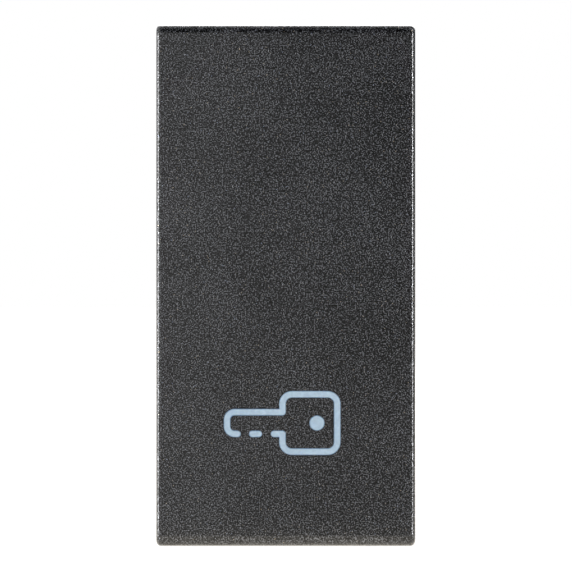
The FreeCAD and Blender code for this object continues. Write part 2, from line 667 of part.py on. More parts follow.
def add_slot(sketch, left, right, height, radius):
    """Two half circles joined by tangent lines."""
    ends = (Vector(value(left), value(height), 0), Vector(value(right), value(height), 0))
    up = Vector(0, value(radius), 0)
    axis = Vector(0, 0, 1)
    left_arc = sketch.addGeometry(
        Part.ArcOfCircle(Part.Circle(ends[0], axis, value(radius)), math.pi / 2, 3 * math.pi / 2))
    right_arc = sketch.addGeometry(
        Part.ArcOfCircle(Part.Circle(ends[1], axis, value(radius)), -math.pi / 2, math.pi / 2))
    lower = sketch.addGeometry(Part.LineSegment(ends[0] - up, ends[1] - up))
    upper = sketch.addGeometry(Part.LineSegment(ends[1] + up, ends[0] + up))
    fix_point(sketch, left_arc, 3, left, height)
    fix_point(sketch, right_arc, 3, right, height)
    number = sketch.addConstraint(Sketcher.Constraint("Radius", left_arc, value(radius)))
    bind(sketch, "Constraints[%d]" % number, radius)
    sketch.addConstraint(Sketcher.Constraint("Equal", left_arc, right_arc))
    sketch.addConstraint(Sketcher.Constraint("Tangent", left_arc, 2, lower, 1))
    sketch.addConstraint(Sketcher.Constraint("Tangent", lower, 2, right_arc, 1))
    sketch.addConstraint(Sketcher.Constraint("Tangent", right_arc, 2, upper, 1))
    sketch.addConstraint(Sketcher.Constraint("Tangent", upper, 2, left_arc, 1))


def symbol_strokes(name, margin, start, end):
    """The door key: an open outline with a short dash in its gap, and the hole of its bow."""
    half_stroke = "symbol_stroke / 2 + %s" % margin
    depth = "(%s) - (%s)" % (end, start)
    bow_right = "bow_left + bow_width"
    bow_top = "bow_middle + bow_height / 2"
    bow_bottom = "bow_middle - bow_height / 2"
    lead_end = "shank_tip + bit_lead"
    outline = front_sketch(name + "_outline", start)
    add_outline(outline, [
        (lead_end, "shank_bottom"),
        ("shank_tip", "shank_bottom", "shank_corner"),
        ("shank_tip", "shank_top", "shank_corner"),
        ("bow_left", "shank_top"),
        ("bow_left", bow_top, "bow_corner"),
        (bow_right, bow_top, "bow_corner"),
        (bow_right, bow_bottom, "bow_corner"),
        ("bow_left", bow_bottom, "bow_corner"),
        ("bow_left", "shank_bottom"),
        ("bow_left - bit_root", "shank_bottom"),
    ], closed=False)
    dash = front_sketch(name + "_dash", start)
    dash_start = lead_end + " + bit_gap"
    add_slot(dash, dash_start, dash_start + " + bit_dash", "shank_bottom", half_stroke)
    dot = front_sketch(name + "_dot", start)
    add_circle(dot, circle("bow_left + dot_offset", "bow_middle", "dot_radius + %s" % margin))
    forward = Vector(0, -1, 0)
    band = band_along(outline, name + "_band", half_stroke)
    return [extrude(band, name + "_outline_solid", forward, depth),
            extrude(dash, name + "_dash_solid", forward, depth),
            extrude(dot, name + "_dot_solid", forward, depth)]


# Pieces of the push key

def key_claws(reach_in, reach_out, margin="0"):
    """Four rectangles at the claws' places, reaching towards the middle and away from it."""
    outlines = []
    for side in BOTH:
        for end in BOTH:
            low, high = span(end, "claw_height - (%s)" % reach_in, "claw_height + %s" % reach_out)
            left = "%d * claw_offset - claw_width / 2 - %s" % (side, margin)
            right = "%d * claw_offset + claw_width / 2 + %s" % (side, margin)
            outlines.append(rectangle(left, low, right, high))
    return outlines


def make_key_cover():
    """Front plate with its skirt, four claws inside, and the symbol cut through."""
    shell = new_body("key_shell")
    profile = [
        ("-key_front", "-key_height / 2", "key_bottom_round"),
        ("-skirt_back", "-key_height / 2"),
        ("-skirt_back", "key_height / 2"),
        ("-key_front", "key_height / 2", "key_top_round"),
    ]
    pad(shell, "profile", [profile], "-key_width / 2", "key_width / 2", "YZ_Plane")

    def long_edges(edge, middle):
        outside = near(abs(middle.x), "key_width / 2")
        return outside and not near(-middle.y, "skirt_back")
    dress(shell, "Fillet", "side_rounding", "key_side_round", long_edges)
    inside = centred("key_width / 2 - key_side_wall", "key_height / 2 - key_end_wall")
    pocket(shell, "inside", [inside], "skirt_back", "key_back")

    half = "claw_thickness / 2"
    pad(shell, "claws", key_claws(half, half), "carrier_back - claw_seat", "key_back")
    hooks = key_claws(half + " + claw_catch", half)
    pad(shell, "hooks", hooks, "carrier_back - claw_seat - claw_hook", "carrier_back - claw_seat")

    symbol = doc.addObject("Part::MultiFuse", "symbol_cutter")
    symbol.Shapes = symbol_strokes("cutter", "symbol_fit", "key_back - " + PAST, "key_front + " + PAST)
    cover = doc.addObject("Part::Cut", "key_cover")
    cover.Base = shell
    cover.Tool = symbol
    return cover


def make_symbol_light_guide():
    """Translucent plate behind the cover, with the symbol raised flush with the front."""
    plate = new_body("guide_back")
    outline = rectangle("window_left + guide_gap", "window_bottom + guide_gap",
                        "window_right - guide_gap", "window_top - guide_gap", "window_corner")
    pad(plate, "plate", [outline], "key_back - guide_plate", "key_back")
    guide = doc.addObject("Part::MultiFuse", "symbol_light_guide")
    guide.Shapes = [plate] + symbol_strokes("guide", "0", "key_back", "key_front")
    return guide


def make_key_carrier():
    """Plate behind the cover with hinge cheeks and pins, ribs, stop legs and the pressing nub."""
    carrier = new_body("key_carrier")
    plate = centred("carrier_half_width", "carrier_half_height", "carrier_corner")
    window = rectangle("window_left", "window_bottom", "window_right", "window_top", "window_corner")
    slot_reach = "claw_thickness / 2 + claw_gap"
    slots = key_claws(slot_reach, slot_reach, "claw_gap")
    pad(carrier, "plate", [plate, window] + slots, "carrier_back", "key_back")

    for side in BOTH:
        tag = "left" if side < 0 else "right"
        cheek_start, cheek_end = span(side, "carrier_half_width - cheek_thickness", "carrier_half_width")
        cheek = [("-carrier_back - " + SINK, "hinge_height - cheek_radius"),
                 ("-hinge_forward + cheek_radius", "hinge_height - cheek_radius", "cheek_corner"),
                 ("-hinge_forward + cheek_radius", "hinge_height + cheek_radius", "cheek_corner"),
                 ("-carrier_back - " + SINK, "hinge_height + cheek_radius")]
        pad(carrier, tag + "_cheek", [cheek], cheek_start, cheek_end, "YZ_Plane")
        pin_start, pin_end = span(side, "carrier_half_width - " + SINK, "collar_half_width - pin_end_gap")
        pin = circle("-hinge_forward", "hinge_height", "pin_radius")
        pad(carrier, tag + "_pin", [pin], pin_start, pin_end, "YZ_Plane")
    nub = circle("-key_back + nub_radius", "plunger_height", "nub_radius")
    pad(carrier, "nub", [nub], "-nub_width / 2", "nub_width / 2", "YZ_Plane")

    ribs, legs, hooks = [], [], []
    for side in BOTH:
        ribs.append(rectangle("%d * rib_offset - rib_thickness / 2" % side, "rib_bottom",
                              "%d * rib_offset + rib_thickness / 2" % side, "rib_top"))
        leg_bottom, leg_top = "leg_height - leg_width / 2", "leg_height + leg_width / 2"
        low, high = span(side, "leg_inner", "leg_outer")
        legs.append(rectangle(low, leg_bottom, high, leg_top))
        low, high = span(side, "leg_inner", "leg_outer + leg_catch")
        hooks.append(rectangle(low, leg_bottom, high, leg_top))
    pad(carrier, "ribs", ribs, "carrier_back - rib_depth", "carrier_back + " + SINK)
    pad(carrier, "legs", legs, "-leg_end", "carrier_back + " + SINK)
    pad(carrier, "leg_hooks", hooks, "-leg_end", "leg_hook - leg_end")

    def hook_noses(edge, middle):
        tip = near(abs(middle.x), "leg_outer + leg_catch")
        return tip and near(middle.y, "leg_end") and is_straight(edge, "z")
    dress(carrier, "Chamfer", "hook_ramps", "leg_ramp", hook_noses)

    def pin_ends(edge, middle):
        return near(abs(middle.x), "collar_half_width - pin_end_gap")
    dress(carrier, "Chamfer", "pin_chamfers", "pin_chamfer", pin_ends)
    return carrier


# Front chassis

def make_front_chassis():
    """Flange, collar, hinge bearings, plunger guide, snap arms for the frame and latches."""
    chassis = new_body("front_chassis")
    flange = centred("flange_half_width", "flange_half_height", "flange_corner")
    pad(chassis, "flange", [flange], "0", "flange_thickness")
    plateau = centred("flange_half_width", "plateau_half_height")
    pad(chassis, "plateau", [plateau], "-plateau", "0")
    collar = centred("collar_half_width", "collar_half_height", "collar_corner")
    bay = centred("bay_half_width", "bay_half_height", "collar_corner - collar_wall")
    pad(chassis, "collar", [collar, bay], "flange_thickness - " + SINK, "collar_front")
    bearing = circle("-hinge_forward", "hinge_height", "pin_radius + pin_clearance")
    pocket(chassis, "bearings", [bearing], "-collar_half_width - " + PAST,
           "collar_half_width + " + PAST, "YZ_Plane")

    bush = circle("0", "plunger_height", "stem_radius + stem_clearance + guide_wall")
    pad(chassis, "bush", [bush], "-plateau - guide_length", "-plateau + " + SINK)
    pad(chassis, "pegs", board_pegs("peg_radius"), "-board_depth", "-plateau + " + SINK)
    pad(chassis, "peg_pins", board_pegs("peg_pin_radius"), "-board_back - peg_pin_proud",
        "-board_depth + " + SINK)
    make_snap_arms(chassis)
    make_latches(chassis)

    seat = circle("0", "plunger_height", "stem_radius + return_gap + 2 * return_wire + seat_gap")
    pocket(chassis, "spring_seat", [seat], "flange_thickness - spring_seat", "flange_thickness")
    bore = circle("0", "plunger_height", "stem_radius + stem_clearance")
    pocket(chassis, "stem_bore", [bore], "-plateau - guide_length - " + PAST, "flange_thickness")
    openings = [centred("pipe_stem_width / 2 + pipe_fit", "pipe_stem_height / 2 + pipe_fit", y="lamp_height")]
    for side in BOTH:
        low, high = span(side, "slot_inner", "slot_outer")
        openings.append(rectangle(low, "leg_height - leg_width / 2 - leg_gap", high,
                                  "leg_height + leg_width / 2 + leg_gap + leg_swing"))
    pocket(chassis, "openings", openings, "-plateau - " + PAST, "flange_thickness")
    return chassis


def board_pegs(radius):
    """Four circles near the lamp board's corners."""
    rows = ("board_top - peg_end_inset", "board_bottom + peg_end_inset")
    column = "%d * (board_half_width - peg_side_inset)"
    return [circle(column % side, row, radius) for side in BOTH for row in rows]


def make_snap_arms(chassis):
    """An arm at the top and one at the bottom. A nose on each catches behind the frame."""
    windows = []
    for end in BOTH:
        tag = "upper" if end > 0 else "lower"
        inner, outer = "%d * snap_inner" % end, "%d * snap_outer" % end
        tip = "%d * (snap_outer + nose_reach)" % end
        taper = "%d * (snap_inner + snap_arm_thickness / 2)" % end
        profile = [("-" + SINK, inner), ("snap_arm_length", inner), ("snap_arm_length", taper),
                   ("nose_start + nose_land + 2 * nose_reach", outer), ("nose_start + nose_land", tip),
                   ("nose_start", tip), ("nose_start", outer), ("-" + SINK, outer)]
        pad(chassis, tag + "_snap_arm", [profile], "-snap_arm_width / 2", "snap_arm_width / 2", "YZ_Plane")
        low, high = span(end, "snap_outer", "snap_window_outer")
        windows.append(rectangle("-snap_arm_width / 2 - nose_gap", low,
                                 "snap_arm_width / 2 + nose_gap", high))
    pocket(chassis, "mould_windows", windows, "-" + PAST, "flange_thickness")


def make_latches(chassis):
    """A springy strap at each side whose window holds the housing's bump."""
    straps = []
    for side in BOTH:
        low, high = span(side, "latch_inner", "latch_outer")
        straps.append(rectangle(low, "-latch_width / 2", high, "latch_width / 2"))
    pad(chassis, "latches", straps, "-plateau - latch_length", "-plateau + " + SINK)
    start = "plateau + latch_window_start"
    window = rectangle(start, "-latch_window_width / 2",
                       start + " + latch_window_depth", "latch_window_width / 2")
    pocket(chassis, "latch_windows", [window], "-latch_outer - " + PAST, "latch_outer + " + PAST, "YZ_Plane")


# Rear housing and terminal cover

def make_rear_housing():
    """Tub with the contact room in front, a partition, and three terminal chambers."""
    housing = new_body("rear_housing")
    outer = centred("housing_half_width", "housing_half_height", "housing_corner")
    pad(housing, "block", [outer], "-housing_depth", "-plateau")
    contact_room = centred("inner_half_width", "inner_half_height", "room_corner")
    pocket(housing, "contact_room", [contact_room], "-partition_depth", "-plateau")
    chambers = [centred("inner_half_width", "chamber_half_height", y=place) for place in TERMINALS.values()]
    pocket(housing, "chambers", chambers, "-housing_depth", "-partition_back")
    for name, place in TERMINALS.items():
        floor = "%s - chamber_half_height - %s" % (place, SINK)
        ledges = []
        for side in BOTH:
            low, high = span(side, "inner_half_width - ledge_width", "inner_half_width + " + SINK)
            ledges.append(rectangle(low, floor, high, "%s + busbar_bottom" % place))
        pad(housing, name + "_ledges", ledges, "-busbar_end", "-partition_back + " + SINK)

    for name, side in (("live", -1), ("switched", 1), ("neutral", 1)):
        inner = "contact_offset - strip_width / 2 - slot_gap"
        outer = "contact_offset + strip_width / 2 + slot_gap"
        low, high = span(side, inner, outer)
        slot = rectangle(low, "%s + busbar_bottom - slot_gap" % TERMINALS[name],
                         high, "%s + busbar_top + slot_gap" % TERMINALS[name])
        pocket(housing, name + "_slot", [slot], "-partition_back - " + PAST, "-partition_depth")
    make_latch_recesses(housing)
    make_tongue_windows(housing)
    make_spacers(housing)
    return housing


def make_latch_recesses(housing):
    """A flat recess at each side for the chassis' strap, with a ramped bump in it."""
    half = "latch_width / 2 + recess_gap"
    recesses = []
    for side in BOTH:
        low, high = span(side, "recess_face", "housing_half_width + " + PAST)
        recesses.append(rectangle(low, "-(%s)" % half, high, half))
    pocket(housing, "recesses", recesses, "-plateau - latch_length - recess_end_gap", "-plateau")
    start = "plateau + latch_window_start + latch_play"
    end = "plateau + latch_window_start + latch_window_depth - latch_play"
    for side in BOTH:
        tag = "left" if side < 0 else "right"
        root = "%d * (recess_face - %s)" % (side, SINK)
        lead = "%d * (recess_face + bump_lead)" % side
        top = "%d * (latch_outer - bump_inset)" % side
        ramp = [(root, start), (lead, start), (top, end), (root, end)]
        pad(housing, tag + "_bump", [ramp], "-latch_window_width / 2 + latch_play",
            "latch_window_width / 2 - latch_play", "XY_Plane")


def make_tongue_windows(housing):
    """Windows in the end walls that hold the terminal cover's tongues."""
    start = "housing_depth - tongue_length - tongue_play"
    for end in BOTH:
        tag = "upper" if end > 0 else "lower"
        low, high = span(end, "inner_half_height - " + SINK, "housing_half_height + " + PAST)
        window = rectangle("-tongue_width / 2 - tongue_play", start, "tongue_width / 2 + tongue_play",
                           start + " + tongue_bump_depth + 2 * tongue_play")
        pocket(housing, tag + "_tongue_window", [window], low, high, "XY_Plane")


def make_spacers(housing):
    """Low ribs along the walls, which keep the housing off its neighbours and the frame."""
    ribs = []
    for side in BOTH:
        for end in BOTH:
            low, high = span(side, "housing_half_width - " + SINK, "housing_half_width + spacer_height")
            ribs.append(rectangle(low, "%d * spacer_rise - spacer_width / 2" % end,
                                  high, "%d * spacer_rise + spacer_width / 2" % end))
            low, high = span(end, "housing_half_height - " + SINK, "housing_half_height + spacer_height")
            ribs.append(rectangle("%d * spacer_offset - spacer_width / 2" % side, low,
                                  "%d * spacer_offset + spacer_width / 2" % side, high))
    pad(housing, "spacers", ribs, "-housing_depth + spacer_end", "-plateau - spacer_start")


def make_terminal_cover():
    """Back plate with six wire entries, three lever slots and two snap tongues."""
    cover = new_body("terminal_cover")
    holes = []
    for place in TERMINALS.values():
        for side in BOTH:
            holes.append(circle("%d * wire_offset" % side, place, "wire_radius"))
        holes.append(rectangle("-lever_width / 2 - lever_fit", "%s + lever_bottom - lever_fit" % place,
                               "lever_width / 2 + lever_fit", "%s + lever_top + lever_fit" % place))
    outer = centred("housing_half_width - cover_inset", "housing_half_height - cover_inset",
                    "housing_corner - cover_inset")
    pad(cover, "plate", [outer] + holes, "-cover_back", "-housing_depth")

    def rear_edge(edge, middle):
        outside = (abs(middle.x) > value("housing_half_width - housing_corner")
                   or abs(middle.z) > value("housing_half_height - housing_corner"))
        return outside and near(middle.y, "cover_back")
    dress(cover, "Chamfer", "rear_edge", "cover_chamfer", rear_edge)

    def wire_entry(edge, middle):
        return near(middle.y, "cover_back") and edge.Curve.TypeId == "Part::GeomCircle" \
            and near(edge.Curve.Radius, "wire_radius")
    dress(cover, "Chamfer", "funnels", "entry_funnel", wire_entry)
    tongues, bumps = [], []
    for end in BOTH:
        low, high = span(end, "tongue_outer - tongue_thickness", "tongue_outer")
        tongues.append(rectangle("-tongue_width / 2", low, "tongue_width / 2", high))
        low, high = span(end, "tongue_outer - tongue_thickness", "tongue_outer + tongue_bump")
        bumps.append(rectangle("-tongue_width / 2", low, "tongue_width / 2", high))
    tip = "-housing_depth + tongue_length"
    pad(cover, "tongues", tongues, "-housing_depth - " + SINK, tip)
    pad(cover, "tongue_bumps", bumps, tip + " - tongue_bump_depth", tip)

    def bump_noses(edge, middle):
        nose = near(abs(middle.z), "tongue_outer + tongue_bump")
        return nose and near(-middle.y, tip) and is_straight(edge, "x")
    dress(cover, "Chamfer", "tongue_ramps", "tongue_ramp", bump_noses)
    return cover


# Push contact

def make_contact_plunger():
    """Turned plunger with a wide head and a cross window for the bridge and its spring."""
    plunger = new_body("contact_plunger")
    outline = [
        ("-head_front", "0"), ("stem_back", "0"), ("stem_back", "stem_radius"),
        ("-head_back", "stem_radius"), ("-head_back", "head_radius"), ("-head_front", "head_radius"),
    ]
    revolve(plunger, "turned", outline, "plunger_height")
    half_window = "bridge_width / 2 + bridge_play"
    window = rectangle("stem_window_front", "plunger_height - (%s)" % half_window,
                       "stem_window_back", "plunger_height + %s" % half_window)
    pocket(plunger, "window", [window], "-head_radius", "head_radius", "YZ_Plane")

    def head_edge(edge, middle):
        return near(-middle.y, "head_front")
    dress(plunger, "Chamfer", "head_chamfer", "head_chamfer", head_edge)
    return plunger


def make_contact_bridge():
    """Springy strip that joins the two fixed contacts when the key is pressed."""
    bridge = new_body("contact_bridge")
    outline = centred("bridge_half_length", "bridge_width / 2", "bridge_corner", y="plunger_height")
    pad(bridge, "strip", [outline], "-bridge_back", "-bridge_front")
    return bridge


def make_contact_tips(label, radius, front, back, face):
    """A pair of round contact tips, chamfered round the face that makes contact."""
    tips = new_body(label)
    discs = [circle("%d * contact_offset" % side, "plunger_height", radius) for side in BOTH]
    pad(tips, "discs", discs, "-(%s)" % back, "-(%s)" % front)

    def face_edge(edge, middle):
        return near(middle.y, face)
    dress(tips, "Chamfer", "edge", "tip_chamfer", face_edge)
    return tips


# Terminals

def make_busbar(name, side, arm_end):
    """Bent strip: clamping plate in the chamber, and an arm down or up the partition's front."""
    busbar = new_body(name + "_busbar")
    place = TERMINALS[name]
    top, bottom = "%s + busbar_top" % place, "%s + busbar_bottom" % place
    plate = rectangle("-busbar_half_width", bottom, "busbar_half_width", top)
    pad(busbar, "plate", [plate], "-busbar_end", "-busbar_start")
    near_face, far_face = (bottom, top) if value(arm_end) < value(bottom) else (top, bottom)
    root = "busbar_start + " + SINK
    profile = [(root, far_face), (root, near_face),
               ("partition_depth", near_face), ("partition_depth", arm_end),
               ("strip_front", arm_end), ("strip_front", far_face, "strip_bend + strip_thickness")]
    low, high = span(side, "contact_offset - strip_width / 2", "contact_offset + strip_width / 2")
    pad(busbar, "arm", [profile], low, high, "YZ_Plane")
    return busbar


def make_clamp_springs(name):
    """Two folded spring strips that press the wires onto the busbar."""
    strips = []
    for side in BOTH:
        tag = "%s_%s_clamp" % (name, "left" if side < 0 else "right")
        path = doc.addObject("Sketcher::SketchObject", tag + "_path")
        draw_clamp_path(path, TERMINALS[name])
        path.Placement = Placement(Vector(0, 0, 0), Rotation(Vector(1, 1, 1), 120))
        bind(path, "Placement.Base.x", "%d * wire_offset - clamp_width / 2" % side)
        band = band_along(path, tag + "_band", "clamp_thickness / 2")
        strips.append(extrude(band, tag, Vector(1, 0, 0), "clamp_width"))
    pair = doc.addObject("Part::Compound", name + "_clamp_springs")
    pair.Links = strips
    return pair


def draw_clamp_path(path, place):
    """Back leg under the ceiling, a bend at the rear, and the leg that slants to the busbar."""
    centre_height = "%s + clamp_centre" % place
    tip_height = "%s + clamp_tip_height" % place
    bend = value("clamp_bend")
    slope = math.radians(value("clamp_slope"))
    centre = Vector(value("clamp_rear"), value(centre_height), 0)
    tip = Vector(value("clamp_tip"), value(tip_height), 0)
    upper = centre + Vector(0, bend, 0)
    corner = centre + Vector(math.sin(slope), -math.cos(slope), 0) * bend
    back_leg = path.addGeometry(Part.LineSegment(Vector(value("clamp_front"), upper.y, 0), upper))
    turn = Part.Circle(centre, Vector(0, 0, 1), bend)
    arc = path.addGeometry(Part.ArcOfCircle(turn, slope - math.pi / 2, math.pi / 2))
    clamping_leg = path.addGeometry(Part.LineSegment(corner, tip))
    fix_point(path, arc, 3, "clamp_rear", centre_height)
    number = path.addConstraint(Sketcher.Constraint("Radius", arc, bend))
    bind(path, "Constraints[%d]" % number, "clamp_bend")
    fix_point(path, clamping_leg, 2, "clamp_tip", tip_height)
    number = path.addConstraint(Sketcher.Constraint("DistanceX", -1, 1, back_leg, 1, value("clamp_front")))
    bind(path, "Constraints[%d]" % number, "clamp_front")
    path.addConstraint(Sketcher.Constraint("Horizontal", back_leg))
    path.addConstraint(Sketcher.Constraint("Tangent", back_leg, 2, arc, 2))
    path.addConstraint(Sketcher.Constraint("Tangent", arc, 1, clamping_leg, 1))


def make_release_lever(name):
    """Push lever between the two wires: its slanting crossbar bends both clamp springs."""
    lever = new_body(name + "_release_lever")
    place = TERMINALS[name]
    bottom, top = "%s + lever_bottom" % place, "%s + lever_top" % place
    bar_bottom = "%s + lever_bar_bottom" % place
    lever_end = "cover_back + lever_proud"
    rod_front = "lever_bar_back - lever_bar_depth"
    rod = [(rod_front, bottom), (lever_end, bottom), (lever_end, top), (rod_front, top)]
    pad(lever, "rod", [rod], "-lever_width / 2", "lever_width / 2", "YZ_Plane")
    face_at = "clamp_face + (%s - clamp_tip_height) / tan(clamp_slope)"
    bar = [(face_at % "lever_bar_bottom", bar_bottom), ("lever_bar_back", bar_bottom),
           ("lever_bar_back", top), (face_at % "lever_top", top)]
    pad(lever, "bar", [bar], "-lever_bar_half_width", "lever_bar_half_width", "YZ_Plane")
    notch = centred("lever_width", "lever_notch / 2", y="%s + (lever_bottom + lever_top) / 2" % place)
    pocket(lever, "notch", [notch], "-cover_back - lever_proud - " + PAST,
           "-cover_back - lever_proud + lever_notch_depth")
    return lever


# Lamp

def make_lamp_board():
    """Circuit board on four pegs behind the deck."""
    board = new_body("lamp_board")
    outline = rectangle("-board_half_width", "board_bottom", "board_half_width", "board_top")
    holes = board_pegs("peg_pin_radius + peg_clearance")
    pad(board, "sheet", [outline] + holes, "-board_back", "-board_depth")
    return board


def make_lamp_led():
    """Square lamp case with a round cup in its face."""
    led = new_body("lamp_led")
    case = centred("led_width / 2", "led_height / 2", "led_corner", y="lamp_height")
    pad(led, "case", [case], "-board_depth", "-led_front")
    cup = circle("0", "lamp_height", "led_cup")
    pocket(led, "cup", [cup], "-led_front - led_cup_depth", "-led_front")
    return led


def make_lamp_resistor():
    """Axial resistor across the board's back, with its leads bent down to the board."""
    resistor = new_body("lamp_resistor")
    depth = "board_back + resistor_gap + resistor_radius"
    height = "lamp_height - resistor_drop"
    half = "resistor_length / 2"
    waist = "resistor_length / 2 - resistor_cap"
    lead_end = "resistor_reach + resistor_lead"
    outline = [
        ("-(%s)" % lead_end, "0"), (lead_end, "0"), (lead_end, "resistor_lead"), (half, "resistor_lead"),
        (half, "resistor_radius"), (waist, "resistor_radius"), (waist, "resistor_waist"),
        ("-(%s)" % waist, "resistor_waist"), ("-(%s)" % waist, "resistor_radius"),
        ("-" + half, "resistor_radius"), ("-" + half, "resistor_lead"), ("-(%s)" % lead_end, "resistor_lead"),
    ]
    sketch = new_sketch(resistor, "turned", [outline], "-(%s)" % depth, "XZ_Plane", height)
    turned = resistor.newObject("PartDesign::Revolution", "lamp_resistor_turned_form")
    turned.Profile = sketch
    turned.ReferenceAxis = (sketch, ["H_Axis"])
    turned.Angle = 360
    leads = [circle("%d * resistor_reach" % side, height, "resistor_lead") for side in BOTH]
    pad(resistor, "leads", leads, "-(%s)" % depth, "-board_back")
    return resistor


def make_light_pipe():
    """Clear pipe that carries the lamp's light to the symbol and widens towards it."""
    pipe = new_body("light_pipe")
    stem = centred("pipe_stem_width / 2", "pipe_stem_height / 2", y="lamp_height")
    pad(pipe, "stem", [stem], "-pipe_back", "flange_thickness + " + SINK)
    flange_front = "flange_thickness + pipe_flange"
    wide = centred("pipe_stem_width / 2 + pipe_flange_reach", "pipe_stem_height / 2 + pipe_flange_reach",
                   y="lamp_height")
    pad(pipe, "flange", [wide], "flange_thickness", flange_front)
    horn = pipe.newObject("PartDesign::AdditiveLoft", "light_pipe_horn")
    mouth = rectangle("pipe_left", "lamp_height - pipe_half_height",
                      "pipe_right", "lamp_height + pipe_half_height")
    horn.Profile = new_sketch(pipe, "throat", [wide], flange_front)
    horn.Sections = [new_sketch(pipe, "mouth", [mouth], "pipe_front")]
    horn.Ruled = True
    return pipe


def make_springs():
    """Coil springs: under the plunger's head, behind the bridge, and between board and busbars."""
    return [
        coil_spring("plunger_return_spring", "-head_back", "spring_seat - flange_thickness",
                    "stem_radius + return_gap + return_wire", "return_wire", "return_turns",
                    "plunger_height"),
        coil_spring("bridge_spring", "stem_window_front", "bridge_front", "bridge_spring_radius",
                    "bridge_wire", "bridge_turns", "plunger_height"),
        coil_spring("lamp_live_spring", "board_back", "strip_front", "lamp_spring_radius",
                    "lamp_wire", "lamp_turns", "lamp_spring_height", "-lamp_spring_offset"),
        coil_spring("lamp_neutral_spring", "board_back", "strip_front", "lamp_spring_radius",
                    "lamp_wire", "lamp_turns", "lamp_spring_height", "lamp_spring_offset"),
    ]


def make_pieces():
    pieces = [
        make_key_cover(),
        make_symbol_light_guide(),
        make_key_carrier(),
        make_front_chassis(),
        make_rear_housing(),
        make_terminal_cover(),
        make_contact_plunger(),
        make_contact_bridge(),
        make_contact_tips("bridge_contact_tips", "bridge_tip_radius", "bridge_back", "bridge_tip_back",
                          "bridge_tip_back"),
        make_contact_tips("fixed_contact_tips", "fixed_tip_radius", "fixed_tip_front", "strip_front",
                          "fixed_tip_front"),
        make_busbar("live", -1, "lamp_spring_height - arm_overlap"),
        make_busbar("switched", 1, "plunger_height - arm_overlap"),
        make_busbar("neutral", 1, "lamp_spring_height + arm_overlap"),
        make_lamp_board(),
        make_lamp_led(),
        make_lamp_resistor(),
        make_light_pipe(),
    ]
    pieces += make_springs()
    for name in TERMINALS:
        pieces.append(make_clamp_springs(name))
        pieces.append(make_release_lever(name))
    return pieces


def check_document(pieces):
    """Stop if any feature failed, or if a piece has no sound solid."""
    failed = [item.Label for item in doc.Objects if {"Invalid", "Error"} & set(item.State)]
    if failed:
        raise RuntimeError("failed features: " + ", ".join(failed))
    for piece in pieces:
        shape = piece.Shape
        if shape.isNull() or not shape.isValid() or not shape.Solids:
            raise RuntimeError(piece.Label + " has no valid solid")


def write_pieces(pieces):
    os.makedirs("parts", exist_ok=True)
    for piece in pieces:
        piece.Shape.exportStep("parts/%s.step" % piece.Label)
        print("%-26s %d solid(s) %9.2f mm3" % (piece.Label, len(piece.Shape.Solids), piece.Shape.Volume))


fill_sheet()
all_pieces = make_pieces()
doc.recompute()
check_document(all_pieces)
write_pieces(all_pieces)
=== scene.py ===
import json
import math

import bmesh
import bpy
from mathutils import Matrix, Vector


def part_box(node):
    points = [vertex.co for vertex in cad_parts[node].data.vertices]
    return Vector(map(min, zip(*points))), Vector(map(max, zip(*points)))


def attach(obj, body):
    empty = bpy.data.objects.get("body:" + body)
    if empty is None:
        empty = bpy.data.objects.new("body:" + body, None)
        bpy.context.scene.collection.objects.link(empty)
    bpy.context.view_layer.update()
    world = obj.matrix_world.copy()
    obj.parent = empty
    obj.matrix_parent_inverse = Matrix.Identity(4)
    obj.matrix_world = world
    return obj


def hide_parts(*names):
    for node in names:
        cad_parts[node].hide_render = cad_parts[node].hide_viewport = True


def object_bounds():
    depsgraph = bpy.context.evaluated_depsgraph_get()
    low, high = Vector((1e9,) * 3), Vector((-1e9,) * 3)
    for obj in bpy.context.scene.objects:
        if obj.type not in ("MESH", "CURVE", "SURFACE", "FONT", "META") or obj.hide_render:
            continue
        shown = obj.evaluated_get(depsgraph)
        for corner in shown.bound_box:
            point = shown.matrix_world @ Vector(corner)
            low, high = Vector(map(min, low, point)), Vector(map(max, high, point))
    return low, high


# Illuminated push button, half a module wide. Lengths are metres: X right, Y into the wall, Z up.

mm = 0.001

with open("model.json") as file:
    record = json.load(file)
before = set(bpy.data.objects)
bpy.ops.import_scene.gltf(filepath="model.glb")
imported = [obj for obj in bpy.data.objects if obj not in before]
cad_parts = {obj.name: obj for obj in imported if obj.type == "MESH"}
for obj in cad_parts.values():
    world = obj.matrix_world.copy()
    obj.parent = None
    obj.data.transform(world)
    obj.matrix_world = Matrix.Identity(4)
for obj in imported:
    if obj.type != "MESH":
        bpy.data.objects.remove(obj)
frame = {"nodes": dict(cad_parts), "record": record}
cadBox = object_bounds()
nodes = frame["nodes"]
print("frame loaded:", len(nodes), "nodes")


def linear(code):  # sRGB hex to the linear RGBA that the shaders take
    channels = [int(code[i:i + 2], 16) / 255 for i in (1, 3, 5)]
    return [c / 12.92 if c <= 0.04045 else ((c + 0.055) / 1.055) ** 2.4 for c in channels] + [1.0]


def fillStops(ramp, stops):  # (position, hex) pairs onto a colour ramp
    while len(ramp.elements) < len(stops):
        ramp.elements.new(0.5)
    for element, (position, code) in zip(ramp.elements, stops):
        element.position = position
        element.color = linear(code)


def feedNode(tree, node, links):  # what feeds a node's sockets
    for key, source in links.items():
        tree.links.new(source, node.inputs[key])


def addNode(tree, kind, settings=None, links=None):  # one node, with its settings and what feeds it
    node = tree.nodes.new(kind)
    for key, value in (settings or {}).items():
        if key == "stops":
            fillStops(node.color_ramp, value)
        elif key in ("From", "To"):  # both ends of a range
            node.inputs[key + " Min"].default_value, node.inputs[key + " Max"].default_value = value
        elif isinstance(key, int) or key in node.inputs:
            node.inputs[key].default_value = value
        else:
            setattr(node, key, value)
    feedNode(tree, node, links or {})
    return node


